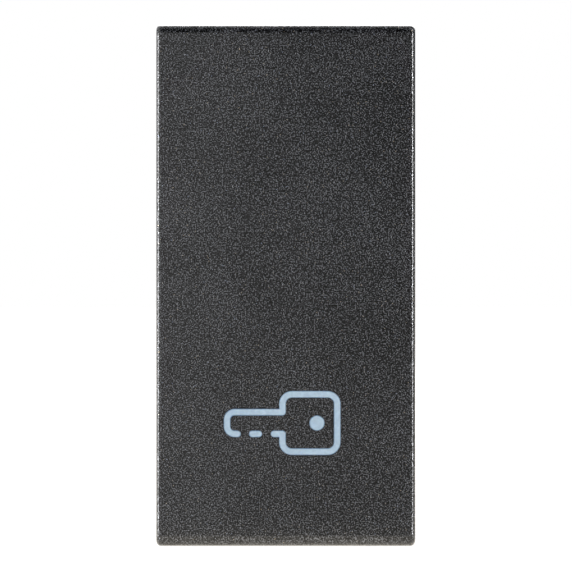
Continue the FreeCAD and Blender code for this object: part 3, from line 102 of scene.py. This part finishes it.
def startMaterial(name, shaderSettings):  # a shader, set to what is the same all over the surface
    material = bpy.data.materials.new(name)
    material.use_nodes = True
    tree = material.node_tree
    tree.nodes.clear()
    shader = addNode(tree, "ShaderNodeBsdfPrincipled", shaderSettings)
    addNode(tree, "ShaderNodeOutputMaterial", links={"Surface": shader.outputs[0]})
    where = addNode(tree, "ShaderNodeTexCoord").outputs["Object"]
    return material, tree, shader, where


def finishSurface(tree, shader, colour, pattern, facts):  # roughness and relief that follow one pattern
    rough = addNode(tree, "ShaderNodeMapRange", {"To": facts["roughness"]}, {"Value": pattern})
    bump = addNode(tree, "ShaderNodeBump", {"Distance": facts["relief"]}, {"Height": pattern})
    feedNode(tree, shader, {"Base Color": colour, "Roughness": rough.outputs[0],
                            "Normal": bump.outputs["Normal"]})


# Key cover: moulded polycarbonate under a metallic lacquer. Its aluminium flakes lie nearly flat,
# each tilted its own way: they give the fine glitter. A few flakes are also painted pale, as painted
# glints where a lamp would catch them. Real flakes are 0.02 to 0.04 mm wide, and are drawn coarser here,
# about a pixel of the photo, so that they show.

lacquer = {
    "tones": [(0.40, "#000000"), (0.57, "#191a1c"), (0.77, "#6e7076")],  # darkest grain, binder and flakes
    "metal": 0.45, "coat": 0.85, "coatRoughness": 0.22,
    "flake": 0.085 * mm, "grain": 0.11 * mm,
    "speck": 0.22,  # share of each flake's own tone, the rest is grain
    "cloud": 9 * mm, "cloudShare": 0.10,  # slow change of tone from the passes of the spray gun
    "tilt": 0.2,  # how far the flakes lean, 0 is flat
    "paintedGlint": 0.985, "paintedGlintReach": 0.5,  # which flakes get a painted glint, and how much of each
    "glintTones": [(0.0, "#8794b0"), (0.45, "#b4b7bc"), (0.75, "#b3a590")],  # the colours of those painted glints
    "roughness": (0.12, 0.24), "relief": 0.010 * mm,
    "shineFrom": (0.43, 0.69), "shine": (0.0, 1.1),  # pits between the flakes don't shine
}


def anthraciteLacquer():
    material, tree, shader, where = startMaterial("metallic lacquer sprayed on polycarbonate", {
        "IOR": 1.5, "Metallic": lacquer["metal"],
        "Coat Weight": lacquer["coat"], "Coat Roughness": lacquer["coatRoughness"]})
    flakes = addNode(tree, "ShaderNodeTexVoronoi", {"Scale": 1 / lacquer["flake"], "Randomness": 1.0},
                     {"Vector": where})
    own = addNode(tree, "ShaderNodeSeparateColor", links={"Color": flakes.outputs["Color"]})
    grain = addNode(tree, "ShaderNodeTexNoise", {"Scale": 1 / lacquer["grain"], "Detail": 0.0},
                    {"Vector": where})
    cloud = addNode(tree, "ShaderNodeTexNoise", {"Scale": 1 / lacquer["cloud"], "Detail": 2.0},
                    {"Vector": where})
    specked = addNode(tree, "ShaderNodeMix", {"Factor": lacquer["speck"]},
                      {2: grain.outputs["Fac"], 3: own.outputs["Red"]})
    level = addNode(tree, "ShaderNodeMath", {"operation": "MULTIPLY_ADD", 1: lacquer["cloudShare"]},
                    {0: cloud.outputs["Fac"], 2: specked.outputs[0]})
    body = addNode(tree, "ShaderNodeValToRGB", {"stops": lacquer["tones"]}, {"Fac": level.outputs[0]})
    # painted glints: a few flakes get a pale colour, as if they caught a lamp
    glintTone = addNode(tree, "ShaderNodeValToRGB", {"stops": lacquer["glintTones"]}, {"Fac": own.outputs["Blue"]})
    chosen = addNode(tree, "ShaderNodeMath", {"operation": "GREATER_THAN", 1: lacquer["paintedGlint"]},
                     {0: own.outputs["Green"]})
    near = addNode(tree, "ShaderNodeMath", {"operation": "LESS_THAN", 1: lacquer["paintedGlintReach"]},
                   {0: flakes.outputs["Distance"]})
    glintMask = addNode(tree, "ShaderNodeMath", {"operation": "MULTIPLY"},
                  {0: chosen.outputs[0], 1: near.outputs[0]})
    colour = addNode(tree, "ShaderNodeMix", {"data_type": "RGBA"},
                     {"Factor": glintMask.outputs[0], 6: body.outputs["Color"], 7: glintTone.outputs["Color"]})
    rough = addNode(tree, "ShaderNodeMapRange", {"To": lacquer["roughness"]}, {"Value": own.outputs["Red"]})
    shine = addNode(tree, "ShaderNodeMapRange", {"From": lacquer["shineFrom"], "To": lacquer["shine"]},
                    {"Value": level.outputs[0]})
    surface = addNode(tree, "ShaderNodeNewGeometry")
    lean = addNode(tree, "ShaderNodeVectorMath", {"operation": "SUBTRACT", 1: (0.5, 0.5, 0.5)},
                   {0: flakes.outputs["Color"]})
    leaning = addNode(tree, "ShaderNodeVectorMath", {"operation": "MULTIPLY_ADD", 1: [lacquer["tilt"]] * 3},
                      {0: lean.outputs[0], 2: surface.outputs["Normal"]})
    flakeNormal = addNode(tree, "ShaderNodeVectorMath", {"operation": "NORMALIZE"}, {0: leaning.outputs[0]})
    bump = addNode(tree, "ShaderNodeBump", {"Distance": lacquer["relief"]},
                   {"Height": level.outputs[0], "Normal": flakeNormal.outputs[0]})
    feedNode(tree, shader, {"Base Color": colour.outputs[2], "Roughness": rough.outputs[0],
                            "Specular IOR Level": shine.outputs[0], "Normal": bump.outputs["Normal"]})
    return material


# Symbol: translucent polycarbonate, polished in the mould. Light spreads inside it, so that its
# strokes look even. Their borders are painted a deeper blue: painted shade at the broken edges and the gap
# round them.

diffuser = {
    "tones": [(0.15, "#6a88a8"), (0.78, "#abbfcf"), (0.90, "#bacedd")],  # border with painted shade, middle and palest
    "ripple": 0.3 * mm, "rippleShare": 0.35,  # faint flow of the melt
    "roughness": (0.26, 0.42), "relief": 0.002 * mm,
    "spread": 0.35, "spreadReach": 0.6 * mm, "spreadColour": (0.25, 0.4, 0.6),
    "glow": ("#9cc0e4", 0.06),  # the lamp behind it, dim in daylight
}


def blueDiffuser():
    material, tree, shader, where = startMaterial("translucent polycarbonate moulded pale blue", {
        "IOR": 1.58, "Subsurface Weight": diffuser["spread"], "Subsurface Radius": diffuser["spreadColour"],
        "Subsurface Scale": diffuser["spreadReach"],
        "Emission Color": linear(diffuser["glow"][0]), "Emission Strength": diffuser["glow"][1]})
    ripple = addNode(tree, "ShaderNodeTexNoise", {"Scale": 1 / diffuser["ripple"], "Detail": 3.0},
                     {"Vector": where})
    # painted shade: the strokes' borders get a deeper blue than their middle
    middle = addNode(tree, "ShaderNodeAttribute", {"attribute_name": "strokeMiddle"})
    level = addNode(tree, "ShaderNodeMix", {"Factor": diffuser["rippleShare"]},
                    {2: middle.outputs["Fac"], 3: ripple.outputs["Fac"]})
    colour = addNode(tree, "ShaderNodeValToRGB", {"stops": diffuser["tones"]}, {"Fac": level.outputs[0]})
    finishSurface(tree, shader, colour.outputs["Color"], ripple.outputs["Fac"], diffuser)
    return material


# Moulded plastics. The mould's eroded skin gives a fine even grain, the melt's flow faint clouds
# of tone, and the glass fibres of the housing short pale streaks. Real fibres are 0.01 mm thick,
# and are drawn ten times as thick so that they show.

moulding = {
    "flow": 6 * mm, "flowShare": 0.4, "fibre": 1.1 * mm, "fibreStretch": (1.0, 1.0, 9.0),
    "fibreTurn": (0.5, 0.3, 0.9), "fibreFrom": (0.6, 0.72), "toneFrom": (0.35, 1.0),
}

plastics = {
    "carrier": {"name": "polycarbonate moulded white", "dark": "#cfcfc9", "light": "#e4e4df",
                "grain": 0.16 * mm, "relief": 0.006 * mm, "roughness": (0.38, 0.55), "fibres": 0.0,
                "ior": 1.58, "slots": ["carrier_plastic"]},
    "chassis": {"name": "polyamide moulded graphite", "dark": "#2f2f31", "light": "#424245",
                "grain": 0.18 * mm, "relief": 0.012 * mm, "roughness": (0.5, 0.68), "fibres": 0.10,
                "ior": 1.53, "slots": ["chassis_plastic"]},
    "housing": {"name": "glass filled polyamide moulded light grey", "dark": "#bfc1be", "light": "#d3d5d2",
                "grain": 0.2 * mm, "relief": 0.014 * mm, "roughness": (0.46, 0.66), "fibres": 0.22,
                "ior": 1.53, "slots": ["housing_plastic", "cover_plastic"]},
    "lever": {"name": "acetal moulded orange", "dark": "#d2731f", "light": "#e88a30",
              "grain": 0.14 * mm, "relief": 0.006 * mm, "roughness": (0.3, 0.46), "fibres": 0.0,
              "ior": 1.48, "slots": ["lever_plastic"]},
    "plunger": {"name": "acetal moulded natural", "dark": "#dcd9cc", "light": "#efede2",
                "grain": 0.14 * mm, "relief": 0.004 * mm, "roughness": (0.26, 0.4), "fibres": 0.0,
                "ior": 1.48, "slots": ["plunger_plastic"]},
}


def mouldedPlastic(facts):
    material, tree, shader, where = startMaterial(facts["name"], {"IOR": facts["ior"]})
    grain = addNode(tree, "ShaderNodeTexNoise",
                    {"Scale": 1 / facts["grain"], "Detail": 2.0, "Roughness": 0.6}, {"Vector": where})
    flow = addNode(tree, "ShaderNodeTexNoise",
                   {"Scale": 1 / moulding["flow"], "Detail": 3.0, "Distortion": 0.6}, {"Vector": where})
    stretched = addNode(tree, "ShaderNodeMapping",
                        {"Rotation": moulding["fibreTurn"], "Scale": moulding["fibreStretch"]},
                        {"Vector": where})
    fibre = addNode(tree, "ShaderNodeTexNoise", {"Scale": 1 / moulding["fibre"], "Detail": 2.0},
                    {"Vector": stretched.outputs[0]})
    streak = addNode(tree, "ShaderNodeMapRange",
                     {"From": moulding["fibreFrom"], "To": (0.0, facts["fibres"])},
                     {"Value": fibre.outputs["Fac"]})
    clouded = addNode(tree, "ShaderNodeMath", {"operation": "MULTIPLY_ADD", 1: moulding["flowShare"]},
                      {0: flow.outputs["Fac"], 2: grain.outputs["Fac"]})
    level = addNode(tree, "ShaderNodeMath", {"operation": "ADD"},
                    {0: clouded.outputs[0], 1: streak.outputs[0]})
    low, high = moulding["toneFrom"]
    colour = addNode(tree, "ShaderNodeValToRGB", {"stops": [(low, facts["dark"]), (high, facts["light"])]},
                     {"Fac": level.outputs[0]})
    finishSurface(tree, shader, colour.outputs["Color"], grain.outputs["Fac"], facts)
    return material


# Metals. Strip keeps the fine lines of the rolls and of the punch along its length, wire those
# of the drawing die. Handling and heat leave darker clouds, which are also duller: the first
# roughness is theirs, the second the bright metal's.

rolling = {"cloud": 2.5 * mm, "toneFrom": (0.35, 0.62), "lineShare": 0.5, "dullFrom": (0.5, 1.0)}

metals = {
    "brass": {"name": "brass strip rolled and bent", "fresh": "#c9a45c", "dull": "#a3824a",
              "line": 0.06 * mm, "along": (1.0, 0.06, 0.06), "roughness": (0.42, 0.2),
              "relief": 0.002 * mm, "slots": ["brass"]},
    "spring": {"name": "stainless spring steel rolled", "fresh": "#b9b8b4", "dull": "#8f8e8c",
               "line": 0.05 * mm, "along": (0.08, 1.0, 1.0), "roughness": (0.34, 0.18),
               "relief": 0.0015 * mm, "slots": ["spring_steel"]},
    "silver": {"name": "silver alloy contact rivet", "fresh": "#dcdad4", "dull": "#b3ab98",
               "line": 0.09 * mm, "along": (1.0, 1.0, 1.0), "roughness": (0.48, 0.22),
               "relief": 0.003 * mm, "slots": ["contact_silver"]},
    "bronze": {"name": "phosphor bronze strip rolled", "fresh": "#c08a5e", "dull": "#96683f",
               "line": 0.05 * mm, "along": (0.06, 1.0, 1.0), "roughness": (0.4, 0.22),
               "relief": 0.002 * mm, "slots": ["contact_bronze"]},
}


def rolledMetal(facts):
    material, tree, shader, where = startMaterial(facts["name"], {"Metallic": 1.0})
    stretched = addNode(tree, "ShaderNodeMapping", {"Scale": facts["along"]}, {"Vector": where})
    lines = addNode(tree, "ShaderNodeTexNoise", {"Scale": 1 / facts["line"], "Detail": 2.0},
                    {"Vector": stretched.outputs[0]})
    cloud = addNode(tree, "ShaderNodeTexNoise",
                    {"Scale": 1 / rolling["cloud"], "Detail": 4.0, "Roughness": 0.6}, {"Vector": where})
    low, high = rolling["toneFrom"]
    colour = addNode(tree, "ShaderNodeValToRGB", {"stops": [(low, facts["dull"]), (high, facts["fresh"])]},
                     {"Fac": cloud.outputs["Fac"]})
    level = addNode(tree, "ShaderNodeMath", {"operation": "MULTIPLY_ADD", 1: rolling["lineShare"]},
                    {0: lines.outputs["Fac"], 2: cloud.outputs["Fac"]})
    rough = addNode(tree, "ShaderNodeMapRange", {"From": rolling["dullFrom"], "To": facts["roughness"]},
                    {"Value": level.outputs[0]})
    bump = addNode(tree, "ShaderNodeBump", {"Distance": facts["relief"]}, {"Height": lines.outputs["Fac"]})
    feedNode(tree, shader, {"Base Color": colour.outputs["Color"], "Roughness": rough.outputs[0],
                            "Normal": bump.outputs["Normal"]})
    return material


# Lamp board: glass epoxy laminate under a green solder mask. The weave of the glass shows
# through as a faint chequer.

laminate = {
    "tones": [(0.1, "#1d5a38"), (0.9, "#2a6e47")],  # mask, and the weave under it
    "thread": 0.45 * mm, "oneWave": 0.314,  # at this scale a Wave texture has one wave in a unit
    "roughness": (0.3, 0.42), "relief": 0.004 * mm, "coat": 0.5, "coatRoughness": 0.12,
}


def greenLaminate():
    material, tree, shader, where = startMaterial("glass epoxy laminate with solder mask", {
        "IOR": 1.55, "Coat Weight": laminate["coat"], "Coat Roughness": laminate["coatRoughness"]})
    across, down = [
        addNode(tree, "ShaderNodeTexWave",
                {"bands_direction": axis, "Scale": laminate["oneWave"] / laminate["thread"],
                 "Distortion": 0.6, "Detail": 1.0}, {"Vector": where})
        for axis in ("X", "Z")]
    weave = addNode(tree, "ShaderNodeMath", {"operation": "MULTIPLY"},
                    {0: across.outputs["Fac"], 1: down.outputs["Fac"]})
    colour = addNode(tree, "ShaderNodeValToRGB", {"stops": laminate["tones"]}, {"Fac": weave.outputs[0]})
    finishSurface(tree, shader, colour.outputs["Color"], weave.outputs[0], laminate)
    return material


# Lamp: white moulded case, its cup filled with clear resin over yellow phosphor.

lampCase = {
    "tones": [(0.0, "#d9c765"), (1.0, "#e6e6e0")],  # phosphor and case
    "cup": (1.05 * mm, 1.134 * mm),  # radius, inside and outside of its lip
    "grain": 0.1 * mm, "roughness": (0.25, 0.45), "relief": 0.003 * mm, "coat": 0.3,
    "glow": ("#bcd6f2", 0.25),
}


def lampMaterial():
    low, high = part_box("lamp_led")
    centre = (Vector(low) + Vector(high)) / 2
    material, tree, shader, where = startMaterial("white lamp case with a phosphor filled cup", {
        "IOR": 1.5, "Coat Weight": lampCase["coat"],
        "Emission Color": linear(lampCase["glow"][0]), "Emission Strength": lampCase["glow"][1]})
    centred = addNode(tree, "ShaderNodeMapping",
                      {"Location": (-centre.x, 0.0, -centre.z), "Scale": (1.0, 0.0, 1.0)},
                      {"Vector": where})
    away = addNode(tree, "ShaderNodeVectorMath", {"operation": "LENGTH"}, {0: centred.outputs[0]})
    grain = addNode(tree, "ShaderNodeTexNoise", {"Scale": 1 / lampCase["grain"], "Detail": 2.0},
                    {"Vector": where})
    outside = addNode(tree, "ShaderNodeMapRange", {"From": lampCase["cup"]}, {"Value": away.outputs["Value"]})
    colour = addNode(tree, "ShaderNodeValToRGB", {"stops": lampCase["tones"]}, {"Fac": outside.outputs[0]})
    finishSurface(tree, shader, colour.outputs["Color"], grain.outputs["Fac"], lampCase)
    return material


# Resistor: dipped in beige enamel with painted colour bands, on tinned leads.

resistor = {
    "enamel": "#c9ac7c", "lead": "#b5b5b0",
    "halfSpan": 3.2 * mm, "halfBody": 2.2 * mm, "bandWidth": 0.28 * mm,  # along X, as the bands' starts are
    "bands": [(-1.2 * mm, "#7a3b22"), (-0.5 * mm, "#1c1c1c"), (0.2 * mm, "#c23b28"), (1.1 * mm, "#b08b3a")],
    "mottle": 0.3 * mm, "tone": (0.85, 1.12), "roughness": (0.22, 0.4), "relief": 0.01 * mm,
    "coat": 0.4, "coatRoughness": 0.1,
}


def dippedEnamel():
    material, tree, shader, where = startMaterial("dipped enamel with painted bands", {
        "IOR": 1.5, "Coat Weight": resistor["coat"], "Coat Roughness": resistor["coatRoughness"]})
    span = 2 * resistor["halfSpan"]
    body = resistor["halfBody"] / span
    stops = [(0.0, resistor["lead"]), (0.5 - body, resistor["enamel"])]
    for place, code in resistor["bands"]:
        start = 0.5 + place / span
        stops += [(start, code), (start + resistor["bandWidth"] / span, resistor["enamel"])]
    stops.append((0.5 + body, resistor["lead"]))
    axes = addNode(tree, "ShaderNodeSeparateXYZ", links={"Vector": where})
    along = addNode(tree, "ShaderNodeMapRange",
                    {"From": (-resistor["halfSpan"], resistor["halfSpan"])},
                    {"Value": axes.outputs["X"]})
    bands = addNode(tree, "ShaderNodeValToRGB", {"stops": stops}, {"Fac": along.outputs[0]})
    bands.color_ramp.interpolation = "CONSTANT"
    mottle = addNode(tree, "ShaderNodeTexNoise", {"Scale": 1 / resistor["mottle"], "Detail": 3.0},
                     {"Vector": where})
    value = addNode(tree, "ShaderNodeMapRange", {"To": resistor["tone"]}, {"Value": mottle.outputs["Fac"]})
    colour = addNode(tree, "ShaderNodeHueSaturation",
                     links={"Value": value.outputs[0], "Color": bands.outputs["Color"]})
    finishSurface(tree, shader, colour.outputs["Color"], mottle.outputs["Fac"], resistor)
    return material


# Light pipe: clear acrylic, polished in the mould, with faint flow lines.

acrylic = {
    "tones": [(0.3, "#d8e8f0"), (0.7, "#eef6fa")], "flow": 1.4 * mm,
    "roughness": (0.03, 0.12), "relief": 0.001 * mm,
}


def clearAcrylic():
    material, tree, shader, where = startMaterial("acrylic moulded clear", {
        "IOR": 1.49, "Transmission Weight": 1.0})
    flow = addNode(tree, "ShaderNodeTexNoise",
                   {"Scale": 1 / acrylic["flow"], "Detail": 2.0, "Distortion": 1.0}, {"Vector": where})
    colour = addNode(tree, "ShaderNodeValToRGB", {"stops": acrylic["tones"]}, {"Fac": flow.outputs["Fac"]})
    finishSurface(tree, shader, colour.outputs["Color"], flow.outputs["Fac"], acrylic)
    return material


slotMaterials = {
    "key_lacquer": anthraciteLacquer(), "symbol_diffuser": blueDiffuser(),
    "board_laminate": greenLaminate(), "lamp_case": lampMaterial(),
    "resistor_body": dippedEnamel(), "clear_acrylic": clearAcrylic(),
}
for make, family in ((mouldedPlastic, plastics), (rolledMetal, metals)):
    for facts in family.values():
        made = make(facts)
        slotMaterials.update({slot: made for slot in facts["slots"]})

for subpart in frame["record"]["subparts"]:
    mesh = nodes[subpart["node"]].data
    mesh.materials.clear()
    mesh.materials.append(slotMaterials[subpart["material_slot"]])
print("materials:", len(set(slotMaterials.values())))


# Symbol strokes: their front edges are broken by the mould. The attribute strokeMiddle is 1 on
# the stroke and falls to 0 at its border, where the diffuser paints shade.

strokes = {
    "shoulder": 0.04 * mm, "shoulderSteps": 2, "rim": 0.03 * mm,  # broken edge, and the border inside it
    "weld": 0.0005 * mm, "flatAngle": 0.5, "frontDepth": 0.002 * mm,
}


def frontFaces(bm, face):  # the strokes' faces that lie in the key's face
    return [f for f in bm.faces if all(abs(v.co.y - face) < strokes["frontDepth"] for v in f.verts)]


def shapedSymbol():
    bm = bmesh.new()
    bm.from_mesh(nodes["symbol_light_guide"].data)
    middle = bm.verts.layers.float.new("strokeMiddle")
    bmesh.ops.remove_doubles(bm, verts=bm.verts, dist=strokes["weld"])
    bmesh.ops.dissolve_limit(bm, angle_limit=math.radians(strokes["flatAngle"]),
                             verts=bm.verts, edges=bm.edges)
    face = min(vertex.co.y for vertex in bm.verts)
    fronts = set(frontFaces(bm, face))
    rims = [edge for edge in bm.edges if fronts.intersection(edge.link_faces)]
    bmesh.ops.bevel(bm, geom=rims, offset=strokes["shoulder"], offset_type="OFFSET",
                    segments=strokes["shoulderSteps"], profile=0.5, affect="EDGES", material=-1,
                    clamp_overlap=True)
    fronts = frontFaces(bm, face)
    bmesh.ops.inset_region(bm, faces=fronts, thickness=strokes["rim"],
                           use_even_offset=True, use_boundary=True)
    for vertex in {v for f in fronts for v in f.verts}:
        vertex[middle] = 1.0
    bmesh.ops.triangulate(bm, faces=[f for f in bm.faces if len(f.verts) > 4])
    mesh = bpy.data.meshes.new("symbolStrokes")
    bm.to_mesh(mesh)
    bm.free()
    piece = bpy.data.objects.new("symbolStrokes", mesh)
    bpy.context.scene.collection.objects.link(piece)
    mesh.materials.append(slotMaterials["symbol_diffuser"])
    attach(piece, "key")
    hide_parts("symbol_light_guide")
    print("symbol:", len(fronts), "fronts,", len(mesh.polygons), "faces")


shapedSymbol()


# Floor: a white satin table. The camera sees it as white paper that keeps the part's shadow.
# Reflections see a painted warm glow on it: a pool of light round the part, dim in front of the key.

table = {
    "radius": 3.0, "middle": 7.5 * mm, "gap": 0.02 * mm, "segments": 64,
    # the tint and the Y range of a painted glow that only reflections see, bright round the part
    "colour": "#d2d2d2", "roughness": 0.12, "paintedPoolTint": "#fff6e6",
    "paintedPoolFrom": (-24 * mm, -11.5 * mm), "paintedPool": (0.2, 1.0),
    "paper": "#808080", "glowFrom": (0.03, 0.20), "glow": (0.93, 1.0),
}


def tableMaterial():
    material = bpy.data.materials.new("white satin table")
    material.use_nodes = True
    tree = material.node_tree
    tree.nodes.clear()
    path = addNode(tree, "ShaderNodeLightPath")
    where = addNode(tree, "ShaderNodeTexCoord").outputs["Object"]
    away = addNode(tree, "ShaderNodeVectorMath", {"operation": "LENGTH"}, {0: where})
    rise = addNode(tree, "ShaderNodeMapRange", {"From": table["glowFrom"], "To": table["glow"]},
                   {"Value": away.outputs["Value"]})
    paper = addNode(tree, "ShaderNodeBsdfDiffuse", {"Color": linear(table["paper"])})
    glow = addNode(tree, "ShaderNodeEmission", {"Color": linear("#ffffff")}, {"Strength": rise.outputs[0]})
    seen = addNode(tree, "ShaderNodeAddShader", links={0: paper.outputs[0], 1: glow.outputs[0]})
    # painted pool of light: reflections see the floor glow, bright round the part and dim in front of the key
    axes = addNode(tree, "ShaderNodeSeparateXYZ", links={"Vector": where})
    paintedPool = addNode(tree, "ShaderNodeMapRange", {"From": table["paintedPoolFrom"], "To": table["paintedPool"]},
                   {"Value": axes.outputs["Y"]})
    mirrored = addNode(tree, "ShaderNodeMath", {"operation": "MAXIMUM"},
                       {0: path.outputs["Is Glossy Ray"], 1: path.outputs["Is Transmission Ray"]})
    strength = addNode(tree, "ShaderNodeMath", {"operation": "MULTIPLY"},
                       {0: mirrored.outputs[0], 1: paintedPool.outputs[0]})
    satin = addNode(tree, "ShaderNodeBsdfPrincipled",
                    {"Base Color": linear(table["colour"]), "Roughness": table["roughness"],
                     "Emission Color": linear(table["paintedPoolTint"])}, {"Emission Strength": strength.outputs[0]})
    both = addNode(tree, "ShaderNodeMixShader",
                   links={0: path.outputs["Is Camera Ray"], 1: satin.outputs[0], 2: seen.outputs[0]})
    addNode(tree, "ShaderNodeOutputMaterial", links={"Surface": both.outputs[0]})
    return material


def addFloor():
    bm = bmesh.new()
    bmesh.ops.create_circle(bm, cap_ends=True, segments=table["segments"], radius=table["radius"],
                            matrix=Matrix.Translation((0, table["middle"], cadBox[0][2] - table["gap"])))
    mesh = bpy.data.meshes.new("floor")
    bm.to_mesh(mesh)
    bm.free()
    floor = bpy.data.objects.new("floor", mesh)
    bpy.context.scene.collection.objects.link(floor)
    mesh.materials.append(tableMaterial())


# Lamps: soft boxes at both sides draw the lines along the key's side edges, fills light the face
# and the back. Each has its place, its size and its power, in metres and watts.

softBoxes = {
    "left soft box": ((-0.297, -0.120, 0.01), (0.14, 0.14), 0.68),
    "right soft box": ((0.232, -0.197, 0.01), (0.035, 0.22), 0.74),
    "front box": ((-0.122, -0.26, 0.045), (0.24, 0.16), 0.105),
    "left high fill": ((-0.50, -0.28, 0.48), (0.35, 0.35), 1.05),
    "right high fill": ((0.50, -0.28, 0.48), (0.35, 0.35), 0.95),
    "rear box": ((0.10, 0.50, 0.36), (0.50, 0.40), 2.5),
}


def addLights():
    for name, (place, size, power) in softBoxes.items():
        data = bpy.data.lights.new(name, "AREA")
        data.shape = "RECTANGLE"
        data.size, data.size_y = size
        data.energy = power
        lamp = bpy.data.objects.new(name, data)
        lamp.location = place
        lamp.rotation_euler = (-lamp.location).to_track_quat("-Z", "Y").to_euler()  # towards the part
        bpy.context.scene.collection.objects.link(lamp)


# Room: a dark ceiling and a pale back wall, turned a little to the left. Reflections see the back
# wall white, as the camera does.

room = {
    "ceiling": [(0.0, "#5a5a5a"), (0.35, "#4a4a4a"), (0.60, "#141414"),
                (0.90, "#141414"), (1.0, "#909090")],  # from the horizon up
    "turn": -0.9, "wallFrom": (-0.2, 0.6), "wall": (0.0, 0.42),
    "mirrorFrom": (0.0, 0.5), "mirrorHeight": (0.3, 0.8), "mirror": (0.4, 1.0),
}


def addWorld():
    world = bpy.data.worlds.new("studio")
    bpy.context.scene.world = world
    world.use_nodes = True
    tree = world.node_tree
    tree.nodes.clear()
    path = addNode(tree, "ShaderNodeLightPath")
    where = addNode(tree, "ShaderNodeTexCoord")
    axes = addNode(tree, "ShaderNodeSeparateXYZ", links={"Vector": where.outputs["Generated"]})
    ceiling = addNode(tree, "ShaderNodeValToRGB", {"stops": room["ceiling"]}, {"Fac": axes.outputs["Z"]})
    aside = addNode(tree, "ShaderNodeMath", {"operation": "MULTIPLY_ADD", 1: room["turn"]},
                    {0: axes.outputs["X"], 2: axes.outputs["Y"]})
    wall = addNode(tree, "ShaderNodeMapRange", {"From": room["wallFrom"], "To": room["wall"]},
                   {"Value": aside.outputs[0]})
    level = addNode(tree, "ShaderNodeMix", {"data_type": "RGBA", 7: linear("#ffffff")},
                    {"Factor": wall.outputs[0], 6: ceiling.outputs["Color"]})
    dim = addNode(tree, "ShaderNodeBackground", {"Strength": 1.0}, {"Color": level.outputs[2]})
    white = addNode(tree, "ShaderNodeBackground", {"Color": linear("#ffffff"), "Strength": 1.0})
    behind = addNode(tree, "ShaderNodeMapRange", {"From": room["mirrorFrom"]}, {"Value": aside.outputs[0]})
    above = addNode(tree, "ShaderNodeMapRange", {"From": room["mirrorHeight"], "To": room["mirror"]},
                    {"Value": axes.outputs["Z"]})
    bright = addNode(tree, "ShaderNodeMath", {"operation": "MULTIPLY"},
                     {0: behind.outputs[0], 1: above.outputs[0]})
    mirrored = addNode(tree, "ShaderNodeMath", {"operation": "MULTIPLY"},
                       {0: path.outputs["Is Glossy Ray"], 1: bright.outputs[0]})
    shown = addNode(tree, "ShaderNodeMath", {"operation": "MAXIMUM"},
                    {0: path.outputs["Is Camera Ray"], 1: mirrored.outputs[0]})
    both = addNode(tree, "ShaderNodeMixShader",
                   links={0: shown.outputs[0], 1: dim.outputs[0], 2: white.outputs[0]})
    addNode(tree, "ShaderNodeOutputWorld", links={"Surface": both.outputs[0]})


# Camera: straight in front of the key, far off with a long lens, as the photo's flat view has it.

shot = {
    "lens": 200, "sensor": 36, "nearest": 0.01,  # mm, mm and metres
    "frameWidth": 49.16 * mm,  # what the view takes in at the key's face
    "face": -10 * mm, "aim": (0.018 * mm, -0.036 * mm),
}


def addCamera():
    data = bpy.data.cameras.new("camera")
    data.lens = shot["lens"]
    data.sensor_width = shot["sensor"]
    data.clip_start = shot["nearest"]
    camera = bpy.data.objects.new("camera", data)
    distance = shot["frameWidth"] * data.lens / data.sensor_width
    camera.location = (shot["aim"][0], shot["face"] - distance, shot["aim"][1])
    camera.rotation_euler = (math.radians(90), 0, 0)
    bpy.context.scene.collection.objects.link(camera)
    bpy.context.scene.camera = camera


addFloor()
addLights()
addWorld()
addCamera()
bpy.context.scene.view_settings.view_transform = "Standard"
print("studio set")
